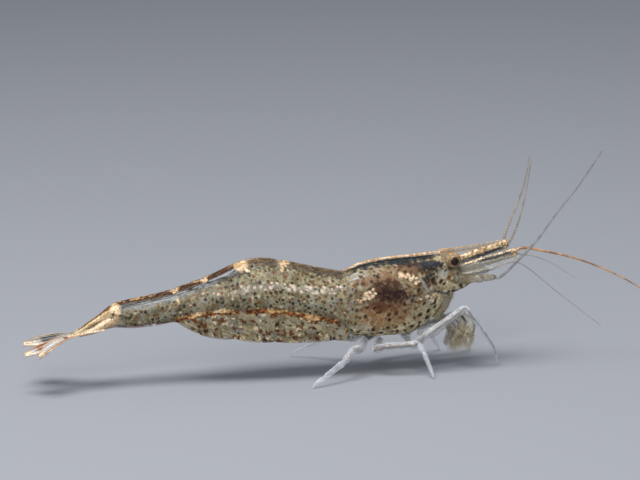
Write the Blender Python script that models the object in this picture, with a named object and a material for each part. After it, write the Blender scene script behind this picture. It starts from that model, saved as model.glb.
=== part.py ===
"""A freshwater dwarf shrimp, family Atyidae, standing still on the bottom.

The body lies stretched along X with the head at +X, Y is the animal's left and Z is up
from the floor. Sizes here are in millimetres, and MM makes metres of them in each mesh.
The trunk is a row of plates, lofted between slanting edges that the neighbours share. Its
outline is five smooth lines along X: the back, the lower edge, the belly, the half width,
and the share of that width that is left at the lower edge.
Blades (telson, tail fan, scales, swimming legs) are lofts of flat ellipses, and feelers,
stalks and legs are round curves. One root empty moves the whole to its own frame.
"""

import math

import bmesh
import bpy
import numpy as np
from mathutils import Vector

MM = 0.001
NAME = "freshwater_shrimp"
SIDES = {"right": -1, "left": 1}

# Driving dimensions. X = 0.2 is the rear margin of the carapace, at the back.
GAP = 0.1
THINNEST_RADIUS = 0.25
PLEURON = 0.55
PLEURON_MOST_SHARE = 0.45
WIDEST_DEPTH_SHARE = 0.45
FLANK_POINTS = 9
BELLY_CORNER = 0.6
SHARP_EDGE = math.radians(40)
EYE_RADIUS = 0.59
EYES = {"right": (8.1, -1.2, 7.94), "left": (8.09, 1.21, 7.76)}
FOOT_HEIGHT = 0.25

# Edges between the plates, as X at the back and X at the lower edge of the flank.
ORBIT = (7.5, 7.95)
CARAPACE_REAR = (0.2, 0.5)
JOINTS = (CARAPACE_REAR, (-1.6, -0.7), (-4.1, -5.0), (-7.2, -7.9), (-9.8, -10.4),
          (-11.85, -12.0), (-16.3, -16.5))

# The trunk's outline, as (X, value) stations that a smooth line runs through.
BACK = ((-16.6, 5.9), (-15.9, 6.13), (-13.0, 6.6), (-11.8, 6.9), (-9.8, 7.5), (-8.0, 8.22), (-7.2, 8.54),
        (-5.7, 8.7), (-4.2, 8.46), (-2.6, 8.05), (-0.9, 7.62), (0.2, 7.42), (1.5, 7.84), (3.4, 8.13),
        (5.5, 8.23), (7.6, 8.36))
LOWER_EDGE = ((-16.6, 4.4), (-15.0, 4.25), (-13.4, 4.35), (-12.2, 4.5), (-11.0, 3.95), (-10.2, 3.5),
              (-8.5, 3.2), (-4.4, 2.72), (0.3, 2.6), (2.2, 2.45), (4.6, 2.45), (5.4, 2.7), (6.2, 3.25),
              (7.0, 3.95), (8.0, 5.1))
BELLY = ((-16.6, 4.2), (-15.0, 4.05), (-12.3, 4.3), (-11.3, 4.55), (-6.0, 4.65), (-4.0, 4.45),
         (-0.7, 3.85), (0.8, 3.1), (4.8, 3.0), (6.2, 3.65), (7.0, 4.25), (8.0, 5.2))
HALF_WIDTH = ((-16.6, 0.8), (-14.5, 1.0), (-12.4, 1.15), (-10.5, 1.4), (-8.5, 1.66), (-6.0, 1.85),
              (-3.0, 1.95), (-0.5, 1.9), (2.2, 2.15), (4.5, 2.1), (6.2, 1.85), (7.3, 1.5), (8.0, 1.3))
EDGE_SHARE = ((-16.6, 0.55), (-12.5, 0.6), (-11.0, 0.85), (-9.0, 0.9), (0.0, 0.9), (5.0, 0.88),
              (8.0, 0.7))
LOBE_RISE = 0.3
FAN_ROLL = math.radians(20)

SHELL_COLOUR = (0.42, 0.38, 0.25)
HEAD_COLOUR = (0.62, 0.50, 0.30)
LEG_COLOUR = (0.62, 0.62, 0.58)
FAN_COLOUR = (0.70, 0.58, 0.40)
EYE_COLOUR = (0.06, 0.03, 0.03)


def clear_scene():
    for obj in list(bpy.data.objects):
        bpy.data.objects.remove(obj, do_unlink=True)


def smooth_line(stations):
    """A function of X through the stations, cubic between them and never past their values."""
    xs, ys = np.array(stations, float).T
    steps, rises = np.diff(xs), np.diff(ys)
    slopes = rises / steps
    tangents = np.zeros_like(xs)
    for i in range(1, len(xs) - 1):
        before, after = slopes[i - 1], slopes[i]
        if before * after > 0:
            tangents[i] = 2 * before * after / (before + after)
    tangents[0], tangents[-1] = slopes[0], slopes[-1]

    def value(x):
        i = int(np.clip(np.searchsorted(xs, x) - 1, 0, len(steps) - 1))
        u = float(np.clip((x - xs[i]) / steps[i], 0, 1))
        return float(
            ys[i] * (1 + 2 * u) * (1 - u) ** 2
            + ys[i + 1] * u**2 * (3 - 2 * u)
            + steps[i] * u * (1 - u) * (tangents[i] * (1 - u) - tangents[i + 1] * u)
        )

    return value


back, lower_edge, belly = smooth_line(BACK), smooth_line(LOWER_EDGE), smooth_line(BELLY)
half_width, edge_share = smooth_line(HALF_WIDTH), smooth_line(EDGE_SHARE)


def smooth_path(points, count):
    """Points evenly spread along a Catmull-Rom curve through the given ones."""
    points = [Vector(point) for point in points]
    ends = [2 * points[0] - points[1], *points, 2 * points[-1] - points[-2]]
    path = []
    for k in np.linspace(0, len(points) - 1, count):
        i = min(int(k), len(points) - 2)
        u = k - i
        p0, p1, p2, p3 = ends[i : i + 4]
        square = 2 * p0 - 5 * p1 + 4 * p2 - p3
        cube = 3 * p1 - p0 - 3 * p2 + p3
        path.append(0.5 * (2 * p1 + (p2 - p0) * u + square * u**2 + cube * u**3))
    return path


def spread(values, count):
    """The given values, read off evenly at count places."""
    return np.interp(np.linspace(0, len(values) - 1, count), range(len(values)), values)


def material(name, colour, roughness=0.35):
    made = bpy.data.materials.new(name)
    made.use_nodes = True
    shader = made.node_tree.nodes["Principled BSDF"]
    shader.inputs["Base Color"].default_value = (*colour, 1.0)
    shader.inputs["Roughness"].default_value = roughness
    shader.inputs["Metallic"].default_value = 0.0
    return made


def add_object(name, data, colour, place):
    obj = bpy.data.objects.new(name, data)
    obj.data.materials.append(material(name, colour))
    obj.parent = place["root"]
    place["collection"].objects.link(obj)
    return obj


def mesh_object(name, verts, faces, colour, place):
    """A smooth-shaded closed mesh, with its faces turned outward."""
    mesh = bpy.data.meshes.new(name)
    mesh.from_pydata([Vector(v) * MM for v in verts], [], faces)
    bm = bmesh.new()
    bm.from_mesh(mesh)
    bmesh.ops.recalc_face_normals(bm, faces=bm.faces)
    bm.to_mesh(mesh)
    bm.free()
    mesh.shade_smooth()
    mesh.set_sharp_from_angle(angle=SHARP_EDGE)
    return add_object(name, mesh, colour, place)


def plate_ring(front, rear, share, lobe):
    """One section of a plate, as its outer line and its inner line from the right edge to the left.

    t runs from 0 at the back to 1 at the lower edge. The flank is a half turn of a circle
    down to its widest place, and then draws in to the edge. The inner line is the belly,
    with the hanging sides of the plate beyond its corners.
    """
    outer, inner = [], []
    for t in np.linspace(-1, 1, 2 * FLANK_POINTS - 1):
        side, t = math.copysign(1, t), abs(t)
        front_x = front[0] + (front[1] - front[0]) * t**2
        rear_x = rear[0] + (rear[1] - rear[0]) * t**2
        x = (1 - share) * front_x + share * rear_x
        edge_z = lower_edge(x) + lobe
        if t < 0.5:
            wide = math.sin(math.pi * t)
            deep = WIDEST_DEPTH_SHARE * (1 - math.cos(math.pi * t))
        else:
            wide = 1 - (1 - edge_share(x)) * (2 * t - 1) ** 2
            deep = WIDEST_DEPTH_SHARE + (1 - WIDEST_DEPTH_SHARE) * (2 * t - 1)
        outer.append((x, side * half_width(x) * wide, back(x) + (edge_z - back(x)) * deep))
        low_width = half_width(x) * edge_share(x)
        under = low_width - min(PLEURON, PLEURON_MOST_SHARE * low_width)
        drop = max(0.0, (t - BELLY_CORNER) / (1 - BELLY_CORNER))
        inner_z = belly(x) + (edge_z - belly(x)) * drop
        inner.append((x, side * under * min(1.0, t / BELLY_CORNER), inner_z))
    return outer, inner


def plate(name, front, rear, rings, place, lobed=True):
    """A plate of the trunk: rings of flank and belly, closed at both ends by strips between them."""
    front = (front[0] - GAP / 2, front[1] - GAP / 2)
    rear = (rear[0] + GAP / 2, rear[1] + GAP / 2)
    across = 2 * FLANK_POINTS - 1
    verts, faces = [], []
    for share in np.linspace(0, 1, rings):
        lobe = LOBE_RISE * abs(2 * share - 1) ** 3 if lobed else 0.0
        outer, inner = plate_ring(front, rear, share, lobe)
        verts += outer + inner[::-1]
    around = 2 * across
    for ring in range(rings - 1):
        for k in range(around):
            a, b = ring * around + k, ring * around + (k + 1) % around
            faces.append((a, b, b + around, a + around))
    for first in (0, (rings - 1) * around):
        for k in range(across - 1):
            faces.append((first + k, first + k + 1, first + around - 2 - k, first + around - 1 - k))
    return mesh_object(name, verts, faces, SHELL_COLOUR, place)


def blade(name, axis, widths, thicknesses, across, colour, place, rings=9, sides=12):
    """A flat blade along an axis: ellipses with the given half widths and half thicknesses."""
    path = smooth_path(axis, rings)
    widths, thicknesses = spread(widths, rings), spread(thicknesses, rings)
    verts, faces = [], []
    for i, centre in enumerate(path):
        along = (path[min(i + 1, rings - 1)] - path[max(i - 1, 0)]).normalized()
        wide = (Vector(across) - along * along.dot(Vector(across))).normalized()
        thick = along.cross(wide)
        for k in range(sides):
            turn = 2 * math.pi * k / sides
            sideways = wide * widths[i] * math.cos(turn)
            verts.append(centre + sideways + thick * thicknesses[i] * math.sin(turn))
    for i in range(rings - 1):
        for k in range(sides):
            a, b = i * sides + k, i * sides + (k + 1) % sides
            faces.append((a, b, b + sides, a + sides))
    faces.append(tuple(range(sides)))
    faces.append(tuple(range((rings - 1) * sides, rings * sides)))
    return mesh_object(name, verts, faces, colour, place)


def limb(name, points, radii, colour, place):
    """A round limb: a curve with a bevel, whose ends are flat discs square to it."""
    curve = bpy.data.curves.new(name, "CURVE")
    curve.dimensions = "3D"
    curve.bevel_depth = THINNEST_RADIUS * MM
    curve.bevel_resolution = 2
    curve.use_fill_caps = True
    spline = curve.splines.new("POLY")
    spline.points.add(len(points) - 1)
    for spot, point, radius in zip(spline.points, points, spread(radii, len(points))):
        spot.co = (*(Vector(point) * MM), 1.0)
        spot.radius = radius / THINNEST_RADIUS
    return add_object(name, curve, colour, place)


def mirrored(points, side):
    """Points given for the animal's left, taken to the side asked for."""
    return [(x, side * y, z) for x, y, z in points]


def make_trunk(place):
    plate("carapace", ORBIT, CARAPACE_REAR, 13, place, lobed=False)
    for number in range(1, 7):
        rings = 9 if number == 6 else 7
        front, rear = JOINTS[number - 1 : number + 1]
        plate(f"abdomen_{number}", front, rear, rings, place, lobed=number < 6)


def make_rostrum(place):
    """The toothed blade over the head, here as one smooth blade on edge."""
    blade("rostrum", ((7.6, 0, 8.2), (9.0, 0, 8.42), (10.6, 0, 8.7), (12.2, 0, 8.97)),
          (0.3, 0.28, 0.26, 0.25), (0.25, 0.25, 0.25, 0.25), (0, 0, 1), HEAD_COLOUR, place, rings=7, sides=8)


def make_eye(side_name, side, place):
    mesh = bpy.data.meshes.new(f"eye_{side_name}")
    bm = bmesh.new()
    bmesh.ops.create_uvsphere(bm, u_segments=16, v_segments=10, radius=EYE_RADIUS * MM)
    bm.to_mesh(mesh)
    bm.free()
    mesh.shade_smooth()
    eye = add_object(f"eye_{side_name}", mesh, EYE_COLOUR, place)
    x, y, z = EYES[side_name]
    eye.location = Vector((x, y, z)) * MM
    start = Vector((7.72, side * 0.3, z - 0.1))
    end = start.lerp(Vector((x, y, z)), 0.38)
    limb(f"eyestalk_{side_name}", (start, end), (0.25, 0.28), HEAD_COLOUR, place)


def make_head(place):
    """The parts between the eyes and the mouth, on both sides."""
    antennule = {
        "right": ((7.75, -0.4, 6.95), (9.0, -0.5, 7.17), (10.8, -0.55, 7.62), (12.1, -0.58, 7.95),
                  (12.9, -0.6, 8.12)),
        "left": ((7.75, 0.4, 6.95), (8.85, 0.5, 7.5), (10.65, 0.55, 8.05), (11.75, 0.6, 8.33),
                 (12.5, 0.62, 8.52)),
    }
    antenna_base = ((8.1, 1.1, 6.6), (9.6, 1.15, 6.48), (11.15, 1.2, 6.5))
    antennal_scale = ((8.55, 1.35, 7.12), (9.6, 1.5, 7.3), (11.2, 1.52, 7.55), (12.7, 1.45, 7.9))
    maxilliped = ((7.1, 0.32, 3.8), (7.75, 0.33, 3.3), (7.95, 0.33, 2.4), (7.6, 0.32, 1.5))
    for side_name, side in SIDES.items():
        make_eye(side_name, side, place)
        limb(f"antennule_{side_name}", antennule[side_name], (0.3, 0.34, 0.34, 0.34, 0.38),
             HEAD_COLOUR, place)
        limb(f"antenna_base_{side_name}", mirrored(antenna_base, side), (0.38, 0.34, 0.28),
             HEAD_COLOUR, place)
        blade(f"antennal_scale_{side_name}", mirrored(antennal_scale, side), (0.3, 0.5, 0.5, 0.25),
              (0.22, 0.25, 0.25, 0.22), (0, 1, 0), HEAD_COLOUR, place)
        limb(f"maxilliped_{side_name}", mirrored(maxilliped, side), (0.26, 0.25, 0.25, 0.25),
             LEG_COLOUR, place)
    blade("mouthparts", ((8.1, 0, 5.6), (8.8, 0, 5.68), (9.5, 0, 5.8)), (1.0, 0.85, 0.5),
          (0.42, 0.36, 0.22), (0, 1, 0), HEAD_COLOUR, place, rings=6, sides=16)


def make_feelers(place):
    """The six whip-like feelers: two on each antennule and the long one of each antenna."""
    routes = {
        "antennule_flagellum_outer_right": ((13.02, -0.62, 8.42), (14.4, -0.8, 8.22), (17.2, -1.2, 7.47),
                                            (20.0, -1.6, 6.22), (23.0, -2.0, 4.35)),
        "antennule_flagellum_inner_right": ((13.02, -0.55, 7.84), (14.2, -0.3, 7.66), (15.5, 0.0, 7.04),
                                            (17.6, 0.4, 5.6)),
        "antennule_flagellum_outer_left": ((12.15, 0.75, 9.0), (13.0, 0.9, 10.7), (13.85, 1.2, 12.6),
                                           (14.4, 1.5, 14.7)),
        "antennule_flagellum_inner_left": ((12.72, 0.5, 8.75), (13.3, 0.5, 10.2), (13.8, 0.5, 12.0),
                                           (14.3, 0.5, 14.7)),
        "antenna_flagellum_right": ((11.38, -1.3, 6.45), (12.4, -2.1, 7.6), (13.9, -2.6, 9.3),
                                    (15.3, -3.2, 11.4), (16.6, -4.0, 13.3), (18.1, -5.4, 16.1)),
        "antenna_flagellum_left": ((11.38, 1.3, 6.5), (12.6, 1.7, 6.8), (13.9, 2.0, 6.55), (16.7, 3.0, 4.1),
                                   (20.2, 4.0, 1.1)),
    }
    for name, route in routes.items():
        limb(name, smooth_path(route, 14), (THINNEST_RADIUS,), HEAD_COLOUR, place)


def make_tail_fan(place):
    """The telson and four blades, which are rolled a little towards the animal's right."""
    telson = ((-16.7, 0, 5.36), (-17.7, 0, 4.86), (-18.6, 0, 4.3), (-19.6, 0, 3.8), (-20.9, 0, 3.5))
    base = ((-16.68, 0.58, 4.42), (-17.15, 0.82, 4.22))
    inner = ((-17.35, 0.5, 4.22), (-18.4, 0.6, 3.98), (-19.3, 0.7, 3.78), (-20.6, 0.9, 3.5),
             (-22.6, 1.1, 3.1))
    outer = ((-17.35, 1.0, 4.3), (-18.4, 1.14, 4.08), (-19.3, 1.36, 3.86), (-20.5, 1.94, 3.54),
             (-22.0, 2.4, 3.1))
    blade("telson", telson, (0.72, 0.6, 0.48, 0.38, 0.25), (0.46, 0.35, 0.27, 0.25, 0.25), (0, 1, 0),
          FAN_COLOUR, place)
    for side_name, side in SIDES.items():
        limb(f"uropod_base_{side_name}", mirrored(base, side), (0.34, 0.3), FAN_COLOUR, place)
        across = (0, math.cos(FAN_ROLL), math.sin(FAN_ROLL))
        blade(f"uropod_inner_{side_name}", mirrored(inner, side), (0.2, 0.22, 0.28, 0.5, 0.3),
              (0.22, 0.25, 0.25, 0.25, 0.2), across, FAN_COLOUR, place)
        blade(f"uropod_outer_{side_name}", mirrored(outer, side), (0.2, 0.24, 0.32, 0.52, 0.32),
              (0.22, 0.25, 0.25, 0.25, 0.2), across, FAN_COLOUR, place)


def make_swimming_legs(place):
    """Five pairs of paddles under the abdomen, folded forward between the hanging plates."""
    roots_and_reaches = ((-1.0, 1.0), (-3.2, 1.7), (-5.7, 1.9), (-8.2, 1.7), (-10.4, 1.4))
    for number, (x, reach) in enumerate(roots_and_reaches, 1):
        room = half_width(x) * edge_share(x) - PLEURON
        y, thick = room / 2, room / 2 - 0.8 * GAP
        top, bottom = belly(x) - 0.3, lower_edge(x + reach) + 0.35
        bend = (x + 0.4 * reach, y, 0.4 * top + 0.6 * bottom)
        for side_name, side in SIDES.items():
            axis = ((x, y, top), bend, (x + reach, y, bottom))
            blade(f"swimming_leg_{number}_{side_name}", mirrored(axis, side), (0.32, 0.45, 0.25),
                  (thick, thick, 0.8 * thick), (0.7, 0, 0.7), LEG_COLOUR, place, rings=5, sides=8)


def make_walking_legs(place):
    """Five pairs: two with small claws under the head, and three that carry the body.

    Each runs from under the breast round the lower edge of the carapace, over its knee,
    and down to a foot that ends upright, so that its end disc lies flat on the floor.
    """
    knees = {
        "leg_1_right": ((6.3, -0.6, 3.2), (7.0, -0.86, 3.1), (8.3, -0.88, 4.0), (8.8, -0.88, 3.3),
                        (8.35, -0.88, 1.6), (8.2, -0.88, 0)),
        "leg_2_right": ((5.5, -0.75, 2.7), (6.4, -1.5, 2.5), (8.55, -1.56, 4.15), (9.25, -1.54, 3.5),
                        (9.0, -1.5, 1.8), (8.85, -1.5, 0)),
        "leg_3_right": ((4.6, -0.85, 2.4), (5.0, -1.75, 1.9), (5.6, -2.25, 2.65), (8.7, -2.25, 4.65),
                        (9.95, -1.95, 2.95), (10.85, -1.6, 1.65), (11.25, -1.2, 0)),
        "leg_4_right": ((2.7, -0.85, 2.4), (2.1, -1.8, 1.85), (2.7, -2.3, 2.15), (5.2, -2.6, 2.27),
                        (5.55, -3.1, 1.6), (5.95, -4.15, 0)),
        "leg_5_right": ((1.6, -0.85, 2.4), (1.05, -1.8, 1.85), (0.6, -2.4, 2.2), (-0.33, -3.1, 1.4),
                        (-1.9, -4.1, 0.65), (-2.85, -4.55, 0)),
        "leg_1_left": ((6.3, 0.6, 3.2), (7.0, 0.86, 3.05), (8.2, 0.9, 3.4), (8.65, 0.88, 2.8),
                       (8.5, 0.88, 1.5), (8.4, 0.88, 0)),
        "leg_2_left": ((5.5, 0.75, 2.7), (6.4, 1.5, 2.5), (8.5, 1.6, 3.4), (9.2, 1.6, 2.9),
                       (9.15, 1.55, 1.6), (9.05, 1.55, 0)),
        "leg_3_left": ((4.6, 0.85, 2.4), (5.0, 1.75, 1.9), (5.7, 2.4, 2.35), (8.4, 2.75, 2.8),
                       (9.35, 3.3, 1.5), (10.2, 3.7, 0)),
        "leg_4_left": ((2.7, 0.85, 2.4), (2.1, 1.8, 1.85), (2.9, 2.5, 2.1), (6.2, 3.3, 2.5),
                       (7.2, 3.8, 1.5), (8.0, 4.3, 0)),
        "leg_5_left": ((1.6, 0.85, 2.4), (1.05, 1.8, 1.85), (0.5, 2.5, 2.2), (-0.6, 3.4, 1.7),
                       (-2.0, 4.6, 0.7), (-2.95, 5.1, 0)),
    }
    for name, route in knees.items():
        toe = Vector(route[-1])
        ankle = toe + Vector((0, 0, FOOT_HEIGHT))
        limb(name, (*route[:-1], ankle, toe), (0.3, 0.28, 0.26, THINNEST_RADIUS), LEG_COLOUR, place)


def centre_on_floor(place):
    """Moves the root so that the origin is under the middle of the whole box, at the feet."""
    bpy.context.view_layer.update()
    graph = bpy.context.evaluated_depsgraph_get()
    points = []
    for obj in place["collection"].objects:
        shape = obj.evaluated_get(graph)
        points += [shape.matrix_world @ vert.co for vert in shape.to_mesh().vertices]
        shape.to_mesh_clear()
    low, high = np.min(points, axis=0), np.max(points, axis=0)
    place["root"].location = (-(low[0] + high[0]) / 2, -(low[1] + high[1]) / 2, 0.0)


def main():
    clear_scene()
    collection = bpy.data.collections.new(NAME)
    bpy.context.scene.collection.children.link(collection)
    root = bpy.data.objects.new(f"{NAME}_root", None)
    bpy.context.scene.collection.objects.link(root)
    place = {"collection": collection, "root": root}
    make_trunk(place)
    make_rostrum(place)
    make_head(place)
    make_feelers(place)
    make_tail_fan(place)
    make_swimming_legs(place)
    make_walking_legs(place)
    centre_on_floor(place)


main()
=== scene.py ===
"""A freshwater dwarf shrimp, dressed around its solids as a still, life-size model.

The sizes below are in the drawing's millimetres: X along the body with the head at +X, Y to
the animal's left, Z up from the floor. SHIFT carries them to the frame of the solids.
"""

import functools
import math
import operator
from collections import namedtuple

import bpy
import numpy as np
from mathutils import Matrix, Vector


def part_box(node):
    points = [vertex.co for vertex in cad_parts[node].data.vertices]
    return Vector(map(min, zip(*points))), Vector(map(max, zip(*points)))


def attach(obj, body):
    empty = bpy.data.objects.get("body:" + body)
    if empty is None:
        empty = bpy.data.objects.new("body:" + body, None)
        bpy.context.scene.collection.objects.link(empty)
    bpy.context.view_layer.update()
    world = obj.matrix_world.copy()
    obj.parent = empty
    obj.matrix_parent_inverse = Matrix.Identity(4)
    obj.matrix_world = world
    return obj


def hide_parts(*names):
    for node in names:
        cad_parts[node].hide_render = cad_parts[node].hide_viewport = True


bl_info = {
    "name": "Freshwater Dwarf Shrimp",
    "version": (1, 0, 0),
    "blender": (4, 5, 0),
    "location": "View3D > Sidebar > Shrimp",
    "description": "Builds the clear shell, the flesh, the limbs and the stage of a life-size shrimp",
    "category": "Object",
}

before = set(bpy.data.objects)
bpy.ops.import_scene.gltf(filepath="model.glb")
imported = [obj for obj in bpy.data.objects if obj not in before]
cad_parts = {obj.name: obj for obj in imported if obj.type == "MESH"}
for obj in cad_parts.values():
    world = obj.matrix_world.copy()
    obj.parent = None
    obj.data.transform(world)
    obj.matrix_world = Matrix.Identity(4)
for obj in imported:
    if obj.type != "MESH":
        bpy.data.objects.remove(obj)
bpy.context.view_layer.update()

MM = 0.001
SEED = 20
SIDES = {"right": -1, "left": 1}
EYE_AT = {"right": (8.1, -1.2, 7.94), "left": (8.09, 1.21, 7.76)}
EYE_RADIUS, IRIS_RADIUS = 0.59, 0.57
SHIFT = np.array(sum(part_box("eye_right"), Vector())) / 2 / MM - EYE_AT["right"]

# The trunk's outline: (X, value) stations that a smooth line runs through.
BACK = ((-16.6, 5.9), (-15.9, 6.13), (-13.0, 6.6), (-11.8, 6.9), (-9.8, 7.5), (-8.0, 8.22),
        (-7.2, 8.54), (-5.7, 8.7), (-4.2, 8.46), (-2.6, 8.05), (-0.9, 7.62), (0.2, 7.42),
        (1.5, 7.84), (3.4, 8.13), (5.5, 8.23), (7.6, 8.36))
LOWER_EDGE = ((-16.6, 4.4), (-15.0, 4.25), (-13.4, 4.35), (-12.2, 4.5), (-11.0, 3.95),
              (-10.2, 3.5), (-8.5, 3.2), (-4.4, 2.72), (0.3, 2.6), (2.2, 2.45), (4.6, 2.45),
              (5.4, 2.7), (6.2, 3.25), (7.0, 3.95), (8.0, 5.1))
HALF_WIDTH = ((-16.6, 0.8), (-14.5, 1.0), (-12.4, 1.15), (-10.5, 1.4), (-8.5, 1.66),
              (-6.0, 1.85), (-3.0, 1.95), (-0.5, 1.9), (2.2, 2.15), (4.5, 2.1), (6.2, 1.85),
              (7.3, 1.5), (8.0, 1.3), (8.7, 1.05), (9.6, 0.6))
EDGE_SHARE = ((-16.6, 0.55), (-12.5, 0.6), (-11.0, 0.85), (-9.0, 0.9), (0.0, 0.9), (5.0, 0.88),
              (8.0, 0.7))
WIDEST_DEPTH_SHARE = 0.45
LOBE_RISE = 0.12

# The flesh inside it: its top and bottom, and the line where the hanging flaps begin.
FLESH_TOP = ((-16.7, 5.4), (-15.9, 5.72), (-14.8, 5.98), (-12.6, 6.4), (-10.8, 6.8), (-9.4, 7.16),
             (-8.4, 7.4), (-7.6, 7.8), (-7.0, 8.25), (-6.0, 8.55), (-4.2, 8.32), (-2.6, 7.92),
             (-0.9, 7.48), (0.2, 7.28), (1.5, 7.68), (3.4, 7.98), (5.5, 8.08), (7.2, 8.14),
             (7.8, 7.95), (8.3, 7.5), (8.9, 7.0), (9.6, 6.5))
FLESH_BOTTOM = ((-16.7, 4.45), (-15.0, 4.3), (-13.4, 4.4), (-12.0, 4.45), (-10.9, 4.52),
                (-8.7, 4.54), (-7.3, 4.74), (-5.8, 4.51), (-4.4, 4.5), (-2.9, 4.19), (-1.5, 3.89),
                (-0.3, 3.6), (0.3, 3.1), (0.9, 2.68), (2.2, 2.58), (4.6, 2.58), (5.4, 2.85),
                (6.2, 3.4), (7.0, 4.15), (7.7, 5.0), (8.3, 5.4), (8.9, 5.6), (9.6, 5.9))
FLAP_LINE = ((-16.6, 4.35), (-14.5, 4.2), (-13.0, 4.4), (-12.1, 4.66), (-10.9, 4.98), (-8.4, 5.2),
             (-6.2, 5.2), (-4.3, 4.95), (-2.3, 4.52), (-0.3, 4.0), (0.5, 3.0))
FLANK_ROW = ((-16.0, 5.2), (-9.0, 6.3), (-5.3, 6.95), (-3.2, 6.62), (-1.7, 6.4), (0.0, 6.38))

# Edges between the plates, as X at the back and X at the lower edge of the flank.
ORBIT = (7.5, 7.95)
CARAPACE_REAR = (0.2, 0.5)
JOINTS = (CARAPACE_REAR, (-1.6, -0.7), (-4.1, -5.0), (-7.2, -7.9), (-9.8, -10.4),
          (-11.85, -12.0), (-16.3, -16.5))


# ---------------------------------------------------------------- lines and frames

def smooth_line(stations):
    """The function of X that is a cubic between the stations and never passes their values."""
    xs, ys = np.array(stations, float).T
    steps = np.diff(xs)
    slopes = np.diff(ys) / steps
    before, after = slopes[:-1], slopes[1:]
    rising = before * after > 0
    mean = 2 * before * after / np.where(rising, before + after, 1.0)
    tangents = np.concatenate([slopes[:1], np.where(rising, mean, 0.0), slopes[-1:]])

    def value(x):
        i = np.clip(np.searchsorted(xs, x) - 1, 0, len(steps) - 1)
        u = np.clip((x - xs[i]) / steps[i], 0, 1)
        ends = ys[i] * (1 + 2 * u) * (1 - u) ** 2 + ys[i + 1] * u**2 * (3 - 2 * u)
        return ends + steps[i] * u * (1 - u) * (tangents[i] * (1 - u) - tangents[i + 1] * u)

    return value


back, lower_edge = smooth_line(BACK), smooth_line(LOWER_EDGE)
half_width, edge_share = smooth_line(HALF_WIDTH), smooth_line(EDGE_SHARE)
flesh_top, flesh_bottom = smooth_line(FLESH_TOP), smooth_line(FLESH_BOTTOM)
flap_line, flank_row = smooth_line(FLAP_LINE), smooth_line(FLANK_ROW)


def ease(value, low, high):
    """0 below low and 1 above high, with a smooth step between them."""
    u = np.clip((value - low) / (high - low), 0, 1)
    return u * u * (3 - 2 * u)


def smooth_path(points, count):
    """Points evenly spread along a Catmull-Rom curve through the given ones."""
    points = np.array(points, float)
    ends = np.concatenate([[2 * points[0] - points[1]], points, [2 * points[-1] - points[-2]]])
    along = np.linspace(0, len(points) - 1, count)
    i = np.minimum(along.astype(int), len(points) - 2)
    u = (along - i)[:, None]
    p0, p1, p2, p3 = ends[i], ends[i + 1], ends[i + 2], ends[i + 3]
    square = 2 * p0 - 5 * p1 + 4 * p2 - p3
    cube = 3 * p1 - p0 - 3 * p2 + p3
    return 0.5 * (2 * p1 + (p2 - p0) * u + square * u**2 + cube * u**3)


def lengths_along(path):
    """The distance from the path's start to each of its points."""
    return np.concatenate([[0.0], np.cumsum(np.linalg.norm(np.diff(path, axis=0), axis=1))])


def bent_path(points, count, passes):
    """Points at even distances along straight stretches, with the corners rounded by averaging."""
    points = np.array(points, float)
    known = lengths_along(points)
    wanted = np.linspace(0, known[-1], count)
    path = np.stack([np.interp(wanted, known, points[:, k]) for k in range(3)], axis=1)
    for _ in range(passes):
        path[1:-1] = (path[:-2] + 2 * path[1:-1] + path[2:]) / 4
    return path


def spread(values, count):
    """The given values, read off evenly at count places with smooth turns between."""
    return smooth_line([*enumerate(values)])(np.linspace(0, len(values) - 1, count))


def unit(vectors):
    """The vectors at a length of 1."""
    return vectors / np.linalg.norm(vectors, axis=-1, keepdims=True)


def frames(path, up):
    """Along, sideways and upward directions at each point of a path."""
    along = unit(np.gradient(path, axis=0))
    side = unit(np.cross(along, np.broadcast_to(np.array(up, float), along.shape)))
    return along, side, np.cross(side, along)


# ---------------------------------------------------------------- surfaces

Shape = namedtuple("Shape", "verts corners sizes uv")
SKIN_MAP, HAIR_MAP = "Skin", "OFBake"
SHARP_ANGLE = math.radians(50)
EDGE_THICKNESS, RIB_REACH = 0.35, 0.12


def ring_surface(points, uv, ends="cap"):
    """A closed surface from a stack of rings, points[ring, place].

    Quads join each ring to the next. A cap closes an end with one face. Strips close the
    ends of a thin wall, whose ring runs along its outer side and back along its inner one.
    uv holds one more column than the ring, for the seam.
    """
    rings, places = points.shape[:2]
    index = np.arange(rings * places).reshape(rings, places)
    wrapped = np.concatenate([index, index[:, :1]], axis=1)

    def quads(grid):
        return np.stack([grid[:-1, :-1], grid[:-1, 1:], grid[1:, 1:], grid[1:, :-1]], axis=2)

    corners, maps = [quads(wrapped).reshape(-1)], [quads(uv).reshape(-1, 2)]
    sizes = [np.full((rings - 1) * places, 4)]
    if ends == "cap":
        for ring, order in ((0, slice(None, None, -1)), (rings - 1, slice(None))):
            corners.append(index[ring][order])
            maps.append(uv[ring, :-1][order])
            sizes.append(np.array([places]))
    else:
        outer = np.arange(places // 2 - 1)
        inner = places - 1 - outer
        first = np.stack([outer + 1, outer, inner, inner - 1], axis=1)
        last = np.stack([outer, outer + 1, inner - 1, inner], axis=1)
        for ring, strip in ((0, first), (rings - 1, last)):
            corners.append(index[ring][strip].reshape(-1))
            maps.append(uv[ring, :-1][strip].reshape(-1, 2))
            sizes.append(np.full(len(strip), 4))
    corners, sizes, maps = (np.concatenate(lists) for lists in (corners, sizes, maps))
    return Shape(points.reshape(-1, 3), corners, sizes, maps)


def merged(shapes):
    """Several shapes as one, each still closed."""
    starts = np.cumsum([0] + [len(shape.verts) for shape in shapes[:-1]])
    return Shape(
        np.concatenate([shape.verts for shape in shapes]),
        np.concatenate([shape.corners + start for shape, start in zip(shapes, starts)]),
        np.concatenate([shape.sizes for shape in shapes]),
        np.concatenate([shape.uv for shape in shapes]),
    )


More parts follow.
